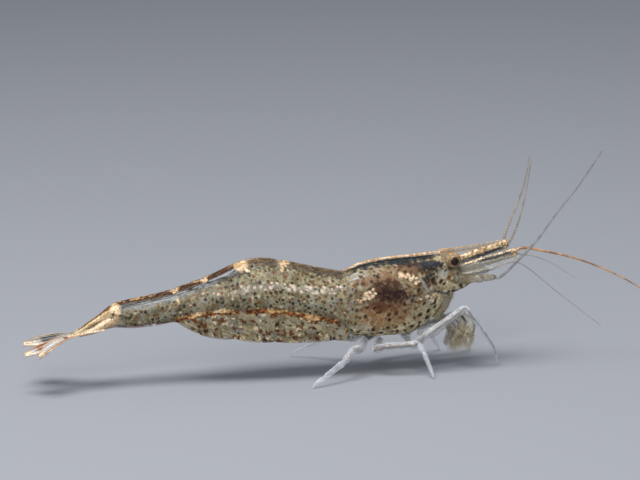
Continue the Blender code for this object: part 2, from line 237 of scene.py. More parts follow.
def first_corners(sizes):
    """Where each face's corners begin, from how many each face has."""
    return np.concatenate([[0], np.cumsum(sizes)[:-1]])


def outward(shape):
    """The shape with its faces turned outward, found from the sign of its enclosed volume."""
    firsts = first_corners(shape.sizes)
    anchor = np.repeat(shape.corners[firsts], shape.sizes)
    following = np.arange(len(shape.corners)) + 1
    lasts = firsts + shape.sizes - 1
    following[lasts] = firsts
    centred = shape.verts - shape.verts.mean(axis=0)
    a, b = centred[anchor], centred[shape.corners]
    c = centred[shape.corners[following]]
    if np.einsum("ij,ij->", a, np.cross(b, c)) > 0:
        return shape
    turned = np.repeat(firsts + lasts, shape.sizes) - np.arange(len(shape.corners))
    return shape._replace(corners=shape.corners[turned], uv=shape.uv[turned])


def new_mesh(name, verts, corners, sizes, finish):
    """A smooth-shaded mesh from whole arrays, in metres."""
    mesh = bpy.data.meshes.new(name)
    mesh.vertices.add(len(verts))
    mesh.vertices.foreach_set("co", verts.astype(np.float32).ravel())
    mesh.loops.add(len(corners))
    mesh.loops.foreach_set("vertex_index", corners.astype(np.int32))
    mesh.polygons.add(len(sizes))
    mesh.polygons.foreach_set("loop_start", first_corners(sizes).astype(np.int32))
    mesh.update(calc_edges=True)
    mesh.shade_smooth()
    mesh.materials.append(finish)
    return mesh


def new_object(name, data):
    """An object at the origin, in the scene."""
    made = bpy.data.objects.new(name, data)
    bpy.context.scene.collection.objects.link(made)
    return made


def add_piece(name, shape, finish, replaced=(), fields=None, map_name=SKIN_MAP):
    """The shape as a piece that rides on the body, with its finish. fields are
    numbers that its points carry."""
    mesh = new_mesh(name, (shape.verts + SHIFT) * MM, shape.corners, shape.sizes, finish)
    mesh.uv_layers.new(name=map_name).uv.foreach_set("vector", shape.uv.astype(np.float32).ravel())
    for field, values in (fields or {}).items():
        stored = mesh.attributes.new(field, "FLOAT", "POINT")
        stored.data.foreach_set("value", values.astype(np.float32).ravel())
    mesh.set_sharp_from_angle(angle=SHARP_ANGLE)
    piece = new_object(name, mesh)
    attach(piece, "root")
    if replaced:
        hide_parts(*replaced)


def tube(path, wide, deep, up, sides):
    """A limb: ellipses carried along a path, wide across it and deep along up.

    The map runs along the limb and around it, both in millimetres.
    """
    count = len(path)
    wide, deep = np.broadcast_to(wide, count), np.broadcast_to(deep, count)
    _, side, rise = frames(path, up)
    turn = np.linspace(0, 2 * math.pi, sides + 1)
    ring = (
        path[:, None]
        + (wide[:, None] * np.cos(turn[:-1]))[..., None] * side[:, None]
        + (deep[:, None] * np.sin(turn[:-1]))[..., None] * rise[:, None]
    )
    along = np.broadcast_to(lengths_along(path)[:, None], (count, sides + 1))
    around = turn[None] * (wide + deep)[:, None] / 2
    return outward(ring_surface(ring, np.stack([along, around], axis=2)))


def leaf(path, half_widths, thickness, across, camber=0.0, rib=0.0, columns=17):
    """A thin blade on a path: wide across it, domed by camber, thicker at its middle rib.

    The dome is a parabola across the blade and the rib a bell curve, and the blade thins
    with the cube of the way out to EDGE_THICKNESS of its middle. The map runs from 0 to 1
    along the blade and from -1 to 1 across it.
    """
    count = len(path)
    along, _, _ = frames(path, across)
    wide = unit(np.array(across, float) - along * (along @ np.array(across, float))[:, None])
    over = np.cross(along, wide)
    over = over * np.sign(over[:, 2].sum() or 1.0)
    v = np.linspace(-1, 1, columns)
    middle = path[:, None] + half_widths[:, None, None] * v[None, :, None] * wide[:, None]
    dome = camber * half_widths[:, None] * (1 - v**2)
    ridge = rib * np.exp(-((v / RIB_REACH) ** 2)) * (half_widths / half_widths.max())[:, None]
    thin = thickness * (EDGE_THICKNESS + (1 - EDGE_THICKNESS) * (1 - np.abs(v) ** 3))
    outer = middle + (dome + ridge + thin / 2)[..., None] * over[:, None]
    inner = middle + (dome - thin / 2)[..., None] * over[:, None]
    ring = np.concatenate([outer, inner[:, ::-1]], axis=1)
    u = np.linspace(0, 1, count)
    columns_v = np.concatenate([v, v[::-1], v[:1]])
    uv = np.stack(np.broadcast_arrays(u[:, None], columns_v[None]), axis=2)
    return outward(ring_surface(ring, uv, ends="strip"))


def bristles(roots, ways, lengths, radius, droop, root_uv):
    """Many fine hairs: three-sided spikes of three rings each, bent by droop at the tip.

    The map gives each hair a small patch at its root's place.
    """
    count = len(roots)
    ways = unit(ways)
    lengths = lengths[:, None, None]
    helper = np.where(np.abs(ways[:, 2:3]) > 0.9, [[1.0, 0, 0]], [[0, 0, 1.0]])
    side = unit(np.cross(ways, helper))
    rise = np.cross(side, ways)
    share = np.array([0.0, 0.5, 1.0])[None, :, None]
    spine = roots[:, None] + ways[:, None] * lengths * share + np.array(droop) * lengths * share**2
    turn = (np.arange(3) * 2 * math.pi / 3)[None, :, None]
    circle = side[:, None] * np.cos(turn) + rise[:, None] * np.sin(turn)
    thick = radius * np.array([1.0, 0.7, 0.12])
    verts = spine[:, :, None] + circle[:, None] * thick[None, :, None, None]
    walls = [(ring + k, ring + (k + 1) % 3, ring + 3 + (k + 1) % 3, ring + 3 + k)
             for ring in (0, 3) for k in range(3)]
    one_hair = np.concatenate([np.array(walls).reshape(-1), [2, 1, 0], [6, 7, 8]])
    corners = (np.arange(count)[:, None] * 9 + one_hair[None]).reshape(-1)
    sizes = np.tile([4] * 6 + [3] * 2, count)
    patch = np.array([(0, 0), (1, 0), (0.5, 1)])[one_hair % 3] * 0.003
    uv = (root_uv[:, None] + patch[None]).reshape(-1, 2)
    return outward(Shape(verts.reshape(-1, 3), corners, sizes, uv))


# ---------------------------------------------------------------- shader nodes

def joins(operation, swapped=False):
    """A method that takes a value and another into a Math node; swapped puts the other first."""
    def method(value, other):
        return value.graph.math(operation, *((other, value) if swapped else (value, other)))

    return method


class Value:
    """What a node gives, which +, -, *, / and | (the larger of two) take on to another node."""

    __add__, __radd__ = joins("ADD"), joins("ADD", swapped=True)
    __sub__, __rsub__ = joins("SUBTRACT"), joins("SUBTRACT", swapped=True)
    __mul__, __rmul__ = joins("MULTIPLY"), joins("MULTIPLY", swapped=True)
    __or__, __ror__ = joins("MAXIMUM"), joins("MAXIMUM", swapped=True)
    __truediv__ = joins("DIVIDE")

    def __init__(self, graph, socket):
        self.graph, self.socket = graph, socket

    def __abs__(self):
        return self.graph.math("ABSOLUTE", self)


def union(masks):
    """The largest of several masks."""
    return functools.reduce(operator.or_, masks)


class Graph:
    """Adds nodes to a tree, one call each, and hands back what they give."""

    def __init__(self, tree):
        self.tree = tree

    def put(self, socket, value):
        """Link a value to a socket, or set the socket to a plain number, vector or colour."""
        if isinstance(value, Value):
            self.tree.links.new(value.socket, socket)
        elif isinstance(value, tuple) and socket.type == "RGBA":
            socket.default_value = (*value, 1.0)
        else:
            socket.default_value = value

    def node(self, kind, given, **settings):
        """A new node with its settings, and with its inputs, by name or number, filled."""
        made = self.tree.nodes.new("ShaderNode" + kind)
        for name, value in settings.items():
            setattr(made, name, value)
        for name, value in given.items():
            self.put(made.inputs[name], value)
        return made

    def result(self, kind, given, output=0, **settings):
        """One output of a new node."""
        return Value(self, self.node(kind, given, **settings).outputs[output])

    def math(self, operation, *values):
        """A number worked out from others."""
        return self.result("Math", dict(enumerate(values)), operation=operation)

    def vector(self, operation, *values, output=0):
        """A vector, or a length, worked out from vectors."""
        return self.result("VectorMath", dict(enumerate(values)), output, operation=operation)

    def scaled(self, vector, amount):
        """The vector, longer by an amount."""
        return self.result("VectorMath", {0: vector, "Scale": amount}, operation="SCALE")

    def turned(self, vector, angle):
        """The vector, turned about Y."""
        given = {"Vector": vector, "Axis": (0, 1, 0), "Angle": angle}
        return self.result("VectorRotate", given, rotation_type="AXIS_ANGLE")

    def split(self, vector):
        """The three numbers of a vector or a colour."""
        return [Value(self, socket) for socket in self.node("SeparateXYZ", {0: vector}).outputs]

    def step(self, value, low, high):
        """0 at low and 1 at high, smoothly, whichever is the larger."""
        given = {"Value": value, "From Min": low, "From Max": high}
        return self.result("MapRange", given, interpolation_type="SMOOTHSTEP")

    def near(self, value, middle, reach):
        """1 where value is at middle, falling to 0 at reach from it."""
        return self.step(abs(value - middle), reach, 0.0)

    def blend(self, share, first, second):
        """The first colour, with that share of the second over it."""
        return self.result("Mix", {0: share, 6: first, 7: second}, 2, data_type="RGBA")

    def mix(self, share, first, second):
        """The number that lies that share of the way from the first to the second."""
        return self.result("Mix", {0: share, 2: first, 3: second}, data_type="FLOAT")

    def span(self, value, low, full, still_full, high):
        """0 up to low, 1 from full to still_full, and 0 again from high."""
        return self.step(value, low, full) * self.step(value, high, still_full)

    def layers(self, colour, over):
        """The colour under layers, each a mask and a colour of its own."""
        for mask, tint in over:
            colour = self.blend(mask, colour, tint)
        return colour

    def noise(self, place, scale, detail=2.0, roughness=0.5, output=0):
        """Cloudy noise from 0 to 1, with scale clouds to a millimetre."""
        given = {"Vector": place, "Scale": scale, "Detail": detail, "Roughness": roughness}
        return self.result("TexNoise", given, output)

    def uneven(self, place, scale, detail=2.0, roughness=0.5):
        """The noise about 0, which makes a line or an edge ragged."""
        return self.noise(place, scale, detail, roughness) - 0.5

    def grain(self, place, scale, low, high, detail=2.0, roughness=0.5):
        """The noise drawn apart into grains: 0 where it is under low, 1 where it is over high."""
        return self.step(self.noise(place, scale, detail, roughness), low, high)

    def warped(self, place, scale, amount):
        """The place, moved about by up to amount, so that small shapes come out irregular."""
        shaken = self.vector("SUBTRACT", self.noise(place, scale, 3.0, output="Color"), (0.5, 0.5, 0.5))
        return self.vector("ADD", place, self.scaled(shaken, amount))

    def place(self):
        """The point's place in the drawing, in mm."""
        coordinates = self.result("TexCoord", {}, "Object")
        return self.vector("SUBTRACT", self.scaled(coordinates, 1 / MM), tuple(SHIFT))

    def skin(self):
        """The piece's own map."""
        return self.result("UVMap", {}, uv_map=SKIN_MAP)

    def field(self, name):
        """A number that the piece's points carry."""
        return self.result("Attribute", {}, "Fac", attribute_name=name)

    def use(self, group, **values):
        """What an effect gives for these inputs, by name."""
        made = self.node("Group", values, node_tree=group)
        return {socket.name: Value(self, socket) for socket in made.outputs}


class Finish(Graph):
    """A new material and the graph of its nodes; constants set its shader's own sockets."""

    def __init__(self, name, roughness, alpha=1.0, coat=0.0, **constants):
        self.material = bpy.data.materials.new(name)
        self.material.use_nodes = True
        super().__init__(self.material.node_tree)
        self.shader = self.tree.nodes["Principled BSDF"]
        constants.update(Roughness=roughness, Alpha=alpha, Coat_Weight=coat, Coat_Roughness=0.08)
        for socket, value in constants.items():
            self.put(self.shader.inputs[socket.replace("_", " ")], value)

    def cover(self, colour, alpha=None, relief=None):
        """The material, with its colour, its opacity and its relief, which is a height, a
        strength and a distance in mm."""
        self.put(self.shader.inputs["Base Color"], colour)
        if alpha is not None:
            self.put(self.shader.inputs["Alpha"], alpha)
        if relief:
            height, strength, distance = relief
            given = {"Strength": strength, "Distance": distance * MM, "Height": height}
            self.put(self.shader.inputs["Normal"], self.result("Bump", given))
        return self.material


KINDS = {"vector": "NodeSocketVector", "colour": "NodeSocketColor", "number": "NodeSocketFloat"}


def effect(name, takes, gives, build):
    """A shader node group, made once: build works out what it gives from what it takes."""
    tree = bpy.data.node_groups.get(name)
    if tree:
        return tree
    tree = bpy.data.node_groups.new(name, "ShaderNodeTree")
    for way, sockets in (("INPUT", takes), ("OUTPUT", gives)):
        for socket, kind in sockets.items():
            tree.interface.new_socket(socket, in_out=way, socket_type=KINDS[kind])
    graph = Graph(tree)
    entry, leave = tree.nodes.new("NodeGroupInput"), tree.nodes.new("NodeGroupOutput")
    given = {socket.name: Value(graph, socket) for socket in entry.outputs}
    for socket, value in build(graph, given).items():
        graph.put(leave.inputs[socket], value)
    return tree


def spots_effect():
    """Round pigment cells, one in each cell of a pattern laid on the skin in millimetres.

    Uneven makes some smaller, Share leaves some out, and Ragged bends their outlines. Pick is
    a number of each cell's own.
    """
    def build(graph, given):
        where = graph.vector("DIVIDE", given["Skin"], given["Spacing"])
        where = graph.vector("ADD", where, graph.scaled((1.37, 0.71, 0.0), given["Seed"]))
        where = graph.warped(where, 2.6, given["Ragged"])
        pattern = {"Vector": where, "Scale": 1.0, "Randomness": 0.85}
        cells = graph.node("TexVoronoi", pattern, voronoi_dimensions="2D", feature="F1")
        size_pick, share_pick, pick = graph.split(Value(graph, cells.outputs["Color"]))
        reach = given["Radius"] / given["Spacing"] * (1.0 - given["Uneven"] * size_pick)
        away = Value(graph, cells.outputs["Distance"])
        shown = graph.math("LESS_THAN", share_pick, given["Share"])
        return {"Mask": graph.step(away, reach * 1.35, reach * 0.55) * shown, "Pick": pick}

    takes = {"Skin": "vector", "Spacing": "number", "Radius": "number", "Uneven": "number",
             "Share": "number", "Ragged": "number", "Seed": "number"}
    return effect("pigment_spots", takes, {"Mask": "number", "Pick": "number"}, build)


def patch_effect():
    """A soft-edged oval of pigment in the side view, at a place in millimetres."""
    def build(graph, given):
        offset = graph.vector("SUBTRACT", given["Place"], given["Centre"])
        scaled = graph.vector("DIVIDE", graph.turned(offset, given["Turn"]), given["Size"])
        flat = graph.vector("MULTIPLY", scaled, (1.0, 0.0, 1.0))
        ragged = graph.uneven(given["Place"], 2.6, 5.0, 0.72) * given["Ragged"]
        away = graph.vector("LENGTH", flat, output="Value") + ragged
        return {"Mask": graph.step(away, 1.0 + given["Blur"], 1.0 - given["Blur"])}

    takes = {"Place": "vector", "Centre": "vector", "Size": "vector", "Turn": "number",
             "Blur": "number", "Ragged": "number"}
    return effect("pigment_patch", takes, {"Mask": "number"}, build)


def spots(graph, skin, **values):
    """The mask and the pick of pigment cells on this skin."""
    return graph.use(spots_effect(), Skin=skin, **values)


def oval(graph, place, centre, size, turn, blur, ragged):
    """The mask of one oval: its centre and half sizes along X and Z, its turn in degrees."""
    return graph.use(
        patch_effect(), Place=place, Centre=(centre[0], 0, centre[1]), Size=(size[0], 1, size[1]),
        Turn=math.radians(turn), Blur=blur, Ragged=ragged,
    )["Mask"]


def skin_effect():
    """Mottled, granular skin under brown dots, finer brown dust and a few cream dots."""
    def build(graph, given):
        place, skin = given["Place"], given["Skin"]
        spacing, radius = given["Spacing"], given["Radius"]
        grain = graph.noise(place, 5.5, 3.0, 0.65)
        level = graph.noise(place, 1.3, 3.0, 0.6) * 0.5 + grain * 0.5
        cool = graph.grain(graph.vector("ADD", place, (5.0, 2.0, 0)), 1.0, 0.48, 0.66, 4.0, 0.65)
        warm = graph.grain(place, 2.1, 0.46, 0.68, 4.0, 0.65)
        fine = spots(graph, skin, Spacing=spacing, Radius=radius, Uneven=0.6, Share=0.95,
                     Ragged=0.5, Seed=3.0)
        dust = spots(graph, skin, Spacing=spacing * 0.62, Radius=radius * 0.45, Uneven=0.6,
                     Share=0.6, Ragged=0.2, Seed=11.0)
        pale = spots(graph, skin, Spacing=spacing * 1.9, Radius=radius * 0.95, Uneven=0.6,
                     Share=given["Cream"], Ragged=0.3, Seed=7.0)
        brown = graph.blend(graph.step(fine["Pick"], 0.25, 0.8), given["Dot"], (0.17, 0.07, 0.02))
        base = graph.blend(graph.step(level, 0.4, 0.6), given["Deep"], given["Pale"])
        colour = graph.layers(base, [
            (cool * 0.5, (0.27, 0.275, 0.27)), (warm * given["Warmth"], given["Warm"]),
            (dust["Mask"] * 0.6, brown), (pale["Mask"] * 0.75, (0.62, 0.52, 0.38)),
            (fine["Mask"] * 0.95, brown),
        ])
        return {"Color": colour, "Relief": grain - fine["Mask"] * 0.4}

    takes = {"Place": "vector", "Skin": "vector", "Pale": "colour", "Deep": "colour",
             "Warm": "colour", "Warmth": "number", "Dot": "colour", "Spacing": "number",
             "Radius": "number", "Cream": "number"}
    return effect("speckled_skin", takes, {"Color": "colour", "Relief": "number"}, build)


# ---------------------------------------------------------------- settings

def colour_property(name, description, value):
    """A colour that a user can change."""
    return bpy.props.FloatVectorProperty(
        name=name, description=description, subtype="COLOR", size=3, min=0, max=1, default=value
    )


def number_property(name, description, value, least=0, **kind):
    """A number that a user can change, and its least value."""
    return bpy.props.FloatProperty(
        name=name, description=description, default=value, min=least, **kind
    )


class PigmentSettings(bpy.types.PropertyGroup):
    """The flesh and its pigment cells."""

    pale: colour_property("Pale flesh", "Lightest flesh between the dots", (0.35, 0.315, 0.205))
    deep: colour_property("Deep flesh", "Darkest flesh between the dots", (0.145, 0.122, 0.06))
    warm: colour_property("Warm tint", "Orange-brown tint of the head", (0.30, 0.16, 0.065))
    dot: colour_property("Dots", "Brown pigment cells", (0.026, 0.012, 0.005))
    gold: colour_property("Gold", "Line along the back of the carapace", (0.72, 0.56, 0.37))
    spacing: number_property("Dot spacing", "Distance between the dots of the abdomen, in mm", 0.385, 0.1)


class ShellSettings(bpy.types.PropertyGroup):
    """The clear plates."""

    wall: number_property("Wall", "Thickness of the clear plates, in mm", 0.06, 0.01)
    clear: number_property("Opacity", "How much of the view the clear plates take", 0.02, max=1,
                           subtype="FACTOR")
    tint: colour_property("Tint", "Colour of the clear plates", (0.24, 0.24, 0.21))


class LimbSettings(bpy.types.PropertyGroup):
    """The limbs and their hairs."""

    glass: colour_property("Clear limb", "Colour of the glassy walking legs", (0.80, 0.84, 0.92))
    hair: colour_property("Bristles", "Colour of the fine hairs", (0.62, 0.56, 0.44))


class StageSettings(bpy.types.PropertyGroup):
    """The floor, the light and the camera."""

    floor: colour_property("Floor", "Colour of the floor", (0.265, 0.28, 0.315))
    key: number_property("Key light", "Power of the overhead lamp", 0.8, unit="POWER")
    fill: number_property("Fill light", "Power of the low lamp in front", 0.5, unit="POWER")
    ambient: number_property("Ambient", "Strength of the light from all round", 0.42)
    lens: number_property("Lens", "Focal length of the camera", 200, 10, unit="CAMERA")


def settings(group):
    """The scene's settings of one group."""
    return getattr(bpy.context.scene, "shrimp_" + group)


def tone(red, green, blue):
    """A screen colour, 0 to 255, as the linear colour a shader takes."""
    shares = np.array((red, green, blue)) / 255
    linear = np.where(shares > 0.04045, ((shares + 0.055) / 1.055) ** 2.4, shares / 12.92)
    return tuple(linear.tolist())


# ---------------------------------------------------------------- trunk

# The skin's map runs along X and round the girth, the same on both sides but for a slip that
# changes over SLIP_WIDTH at the middle of the back.
SKIN_SLIP, SLIP_WIDTH = 0.9, 0.35
TRUNK_MIDDLE_Z = 5.5
# How far a plate's lips stand out, how far its front is drawn in, and the share of its length
# that lies under the plate before. Where it comes out again, and where its lips rise.
LIP, TUCK, OVERLAP = 0.03, 0.09, 0.12
COVERED_TO, REAR_LIP, LOWER_LIP = 0.16, (0.86, 0.97), (0.955, 0.975)
KEEL_HEIGHT, KEEL_REACH = 0.11, 0.14
GROOVE_DEPTH, GROOVE_TURN, GROOVE_REACH = 0.035, 0.86, 0.02
FLAP_LIFT = 0.09
# The flesh: from where to where, its gap to the plates, where it closes, and its low folds.
FLESH_ENDS, FLESH_GAP = (-16.55, 9.55), 0.14
HEAD_CLOSING, TAIL_CLOSING = (8.9, 9.7), (-16.75, -16.4)
BACK_POWER, BELLY_POWER_MORE = 2, 1.2
FOLD_DEPTH, FOLD_RATE = 0.012, 9.0


def slipped(x, y):
    """X with the map's slip: ahead on the left and back on the right."""
    return x + SKIN_SLIP * np.tanh(y / SLIP_WIDTH)


def ring_depth(x, t):
    """Share of the half width, and of the depth from the back to the lower edge, at t.

    t runs from 0 at the back to 1 at the lower edge. The flank is a quarter turn of an
    ellipse down to its widest place at t 0.5, then draws in towards the edge.
    """
    upper = t < 0.5
    wide = np.where(upper, np.sin(math.pi * t), 1 - (1 - edge_share(x)) * (2 * t - 1) ** 2)
    low = WIDEST_DEPTH_SHARE + (1 - WIDEST_DEPTH_SHARE) * (2 * t - 1)
    return wide, np.where(upper, WIDEST_DEPTH_SHARE * (1 - np.cos(math.pi * t)), low)


def flank(front, rear, share, turn, lobe):
    """Points of a plate's outside at share along it and turn round it, from -1 right to 1 left."""
    t = np.abs(turn)
    front_x = front[0] + (front[1] - front[0]) * t**2
    rear_x = rear[0] + (rear[1] - rear[0]) * t**2
    x = (1 - share) * front_x + share * rear_x
    edge_z = lower_edge(x) + lobe
    wide, deep = ring_depth(x, t)
    height = back(x) + (edge_z - back(x)) * deep
    return np.stack([x, np.sign(turn) * half_width(x) * wide, height], axis=2)


def lift_from(points):
    """Outward unit normals of a grid of points over the trunk."""
    normal = unit(np.cross(np.gradient(points, axis=0), np.gradient(points, axis=1)))
    middle = points * (1, 0, 0) + (0, 0, TRUNK_MIDDLE_Z)
    outward_way = np.einsum("ijk,ijk->ij", normal, points - middle)
    return normal * np.sign(np.median(outward_way))


def plate_shape(front, rear, wall, lobe_rise=0.0, tuck=0.0, overlap=0.0, relief=None,
                rows=72, columns=141):
    """A thin clear plate over the flesh, as a closed wall, and its ring of points.

    Outside: the flank's surface, drawn in at the front by tuck where the plate before
    covers it, and raised a little at its rear lip. Inside: the same, one wall further in.
    The lower edge rises by lobe_rise towards the plate's front and rear.
    """
    share = np.linspace(-overlap, 1.0, rows)[:, None]
    turn = np.linspace(-1, 1, columns)[None]
    share, turn = np.broadcast_arrays(share, turn)
    lobe = lobe_rise * np.abs(2 * np.clip(share, 0, 1) - 1) ** 3
    base = flank(front, rear, share, turn, lobe)
    normal = lift_from(base)
    rise = -LIP - tuck * (1 - ease(share, 0.0, COVERED_TO)) + LIP * ease(share, *REAR_LIP)
    rise = rise + LIP * ease(np.abs(turn), *LOWER_LIP)
    if relief:
        rise = rise + relief(base, share, turn)
    outer = base + normal * rise[..., None]
    inner = outer - normal * wall
    girth = np.cumsum(np.linalg.norm(np.diff(outer, axis=1, prepend=outer[:, :1]), axis=2), axis=1)
    maps = slipped(outer[..., 0], outer[..., 1]), np.minimum(girth, girth[:, -1:] - girth)
    ring = np.concatenate([outer, inner[:, ::-1]], axis=1)
    folded = [np.concatenate([way, way[:, ::-1], way[:, :1]], axis=1) for way in maps]
    return outward(ring_surface(ring, np.stack(folded, axis=2), ends="strip")), ring


def carapace_relief(base, share, turn):
    """A low keel along the back of the front half, and a groove above the lower edge, each as
    a bell curve across its line."""
    keel = KEEL_HEIGHT * np.exp(-((base[..., 1] / KEEL_REACH) ** 2)) * ease(base[..., 0], 0.2, 1.2)
    away = (np.abs(turn) - GROOVE_TURN) / GROOVE_REACH
    return keel - GROOVE_DEPTH * np.exp(-(away**2)) * ease(share, 0.15, 0.3)


def covering_flaps(_, share, turn):
    """The second plate's flaps, lifted over the first's and the third's."""
    return FLAP_LIFT * ease(np.abs(turn), 0.6, 0.75) * (1 - ease(share, 0.1, 0.3))


def trunk_fields(points):
    """Where each point is on the trunk, for the finishes: drop, below the back; hang, above
    the flap line; row, above the flank's pale row; rim, above the lower edge; off_middle, to
    either side. All in mm."""
    x, y, z = np.moveaxis(points.reshape(-1, 3), 1, 0)
    return {
        "drop": back(x) - z,
        "hang": z - flap_line(x),
        "row": z - flank_row(x),
        "rim": z - lower_edge(x),
        "off_middle": np.abs(y),
    }


def shell_finish():
    """Clear plates: nearly see-through over the flesh, pigmented on the hanging flaps, along
    the back and at the hinges, with pale reflections in the empty band over the tail's flesh."""
    pigment, shell = settings("pigment"), settings("shell")
    graph = Finish("clear_shell", 0.34, coat=0.12, Specular_IOR_Level=0.25)
    place, skin = graph.place(), graph.skin()
    drop, hang = graph.field("drop"), graph.field("hang")
    x = graph.split(place)[0]
    wobble, ragged = graph.uneven(place, 2.6, 3.0), graph.uneven(place, 6.0, 3.0)
    grain = graph.grain(place, 5.0, 0.42, 0.6, 3.0)
    speckled = graph.use(
        skin_effect(), Place=place, Skin=skin, Pale=tuple(pigment.pale), Deep=tuple(pigment.deep),
        Warm=tuple(pigment.warm), Warmth=0.3, Dot=tuple(pigment.dot), Spacing=0.45, Radius=0.13,
        Cream=0.55,
    )
    flap = graph.step(hang + wobble * 0.45, 0.1, -0.08) * graph.step(x, 0.45, 0.25)
    flap_base = graph.blend(flap, tuple(shell.tint), speckled["Color"])
    ridge = graph.step(graph.field("off_middle") + ragged * 0.3, 0.24, 0.1) * graph.step(x, 0.1, 0.3)
    depth = drop + ragged * 0.16
    layers = [
        flap_edge(graph, place, x, hang, ragged),
        saddles(graph, place, x, drop, ragged),
        top_line(graph, place, x, depth),
        spine_line(graph, x, depth, grain, wobble),
        (ridge, graph.blend(grain, tone(168, 124, 76), tuple(pigment.gold))),
        band_streaks(graph, place, x, drop),
        hinge_patches(graph, place, grain),
    ]
    colour = graph.layers(flap_colour(graph, place, skin, flap_base, flap), layers)
    edge = graph.step(graph.field("rim"), 0.02, 0.16) | 0.4
    shown = union([flap, *(mask for mask, _ in layers)]) * edge
    relief = ragged + speckled["Relief"]
    return graph.cover(colour, graph.mix(shown, shell.clear, 0.95), (relief, 0.4, 0.03))


def flap_colour(graph, place, skin, colour, flap):
    """Brown blotches, and cream streaks that slant down and forward, on the hanging flaps."""
    stretched = graph.vector("MULTIPLY", graph.turned(place, math.radians(-28)), (0.9, 2.0, 4.6))
    pale_streak = graph.grain(stretched, 1.0, 0.56, 0.64)
    dark_streak = graph.grain(graph.vector("ADD", stretched, (0, 0, 9.0)), 1.0, 0.6, 0.68)
    blots = spots(graph, skin, Spacing=0.62, Radius=0.24, Uneven=0.6, Share=0.7, Ragged=1.1, Seed=21.0)
    pale = spots(graph, skin, Spacing=0.6, Radius=0.15, Uneven=0.6, Share=0.55, Ragged=1.1, Seed=33.0)
    return graph.layers(colour, [
        (pale_streak * 0.5 * flap, tone(196, 176, 134)),
        (dark_streak * 0.5 * flap, tone(78, 66, 44)),
        (blots["Mask"] * flap, graph.blend(blots["Pick"], tone(34, 18, 8), tone(104, 56, 20))),
        (pale["Mask"] * flap, tone(212, 190, 150)),
    ])


def flap_edge(graph, place, x, hang, ragged):
    """The brown line where the flaps begin, with cream patches in it: its mask and colour."""
    line = graph.near(hang + ragged * 0.5, 0.02, 0.3) * graph.step(x, 0.0, -0.8)
    line = graph.step(line * graph.grain(place, 1.5, 0.28, 0.46, 3.0), 0.15, 0.6)
    lengthwise = graph.vector("MULTIPLY", place, (0.6, 1.0, 1.3))
    creamy = graph.grain(graph.vector("ADD", lengthwise, (7.0, 0, 0)), 1.2, 0.54, 0.6, 4.0, 0.6)
    rust_grain = graph.grain(place, 4.5, 0.42, 0.6, 3.0, 0.7)
    cream_grain = graph.grain(place, 5.0, 0.4, 0.6, 3.0)
    rust = graph.blend(rust_grain, tone(44, 22, 8), tone(150, 86, 30))
    cream = graph.blend(cream_grain, tone(168, 120, 66), tone(218, 180, 124))
    return line, graph.blend(creamy * graph.step(x, -12.6, -12.0), rust, cream)


SADDLES = ((-6.8, -4.55), (-3.75, 0.25))


def saddles(graph, place, x, drop, ragged):
    """Dark saddles over the middle of the abdomen, as X from and to: their mask and colour."""
    lengths = union(graph.span(x, low - 0.2, low + 0.2, high - 0.2, high + 0.2) for low, high in SADDLES)
    grain = graph.grain(place, 4.0, 0.4, 0.6, 4.0, 0.7)
    mask = lengths * graph.step(drop + ragged * 1.6, 0.42, 0.12) * 0.92
    return mask, graph.blend(grain, tone(36, 20, 9), tone(118, 88, 48))


def top_line(graph, place, x, depth):
    """A broken pale line on the very top of the abdomen: its mask and colour."""
    broken = graph.grain(place, 2.0, 0.46, 0.58, 3.0)
    return graph.step(depth, 0.05, 0.0) * graph.step(x, 0.2, 0.0) * broken, tone(200, 168, 122)


def spine_line(graph, x, depth, grain, wobble):
    """The brown line along the tail's back, with broken gold on top: its mask and colour."""
    spine = graph.step(depth, 0.26, 0.18) * graph.span(x, -16.9, -16.6, -7.3, -7.0)
    gold = graph.step(depth, 0.1, 0.03) * graph.step(wobble, 0.0, 0.08)
    brown = graph.blend(grain, tone(32, 18, 9), tone(84, 52, 26))
    return spine, graph.blend(gold, brown, tone(190, 150, 98))


# Reflections in the clear band: depth below the back and half width in mm, and strength.
STREAKS = ((0.3, 0.05, 1.0), (0.42, 0.04, 0.8), (0.54, 0.04, 0.5))


def band_streaks(graph, place, x, drop):
    """Thin blue-white reflections along the clear band over the flesh of the tail."""
    long_way = graph.vector("MULTIPLY", place, (0.5, 1.0, 2.5))
    level = drop + graph.uneven(long_way, 1.6) * 0.14
    lines = union(graph.near(level, depth, reach) * strength for depth, reach, strength in STREAKS)
    broken = graph.grain(graph.vector("ADD", long_way, (3.0, 0, 5.0)), 1.3, 0.34, 0.6)
    return lines * broken * graph.span(x, -16.4, -15.9, -7.6, -7.2) * 0.6, tone(176, 188, 206)


# Cream patches on the plates, mostly where two meet: (X, Z), half sizes, turn in degrees.
HINGES = (
    ((-7.15, 8.35), (0.5, 0.32), 20), ((-6.8, 8.05), (0.16, 0.1), 0),
    ((-4.05, 8.35), (0.45, 0.22), -10), ((-4.3, 8.0), (0.14, 0.3), 0),
    ((-9.85, 7.4), (0.24, 0.14), 20), ((-11.95, 6.8), (0.3, 0.17), 10),
    ((-11.8, 6.1), (0.13, 0.2), 0), ((-16.4, 5.6), (0.5, 0.5), 20),
    ((-16.3, 4.9), (0.38, 0.45), -10), ((-10.35, 5.2), (0.35, 0.13), 10),
    ((-8.3, 6.4), (0.1, 0.13), 0), ((-8.9, 5.35), (0.45, 0.14), 5),
)


def hinge_patches(graph, place, grain):
    """The cream patches, flecked with brown: their mask and colour."""
    shaken = graph.warped(place, 4.0, 0.4)
    mask = union(oval(graph, shaken, *hinge, blur=0.35, ragged=1.2) for hinge in HINGES)
    cream = graph.blend(grain, tone(176, 138, 92), tone(222, 202, 168))
    unflecked = graph.grain(place, 7.0, 0.3, 0.44, 3.0, 0.7)
    return mask, graph.blend(unflecked, tone(112, 70, 34), cream)


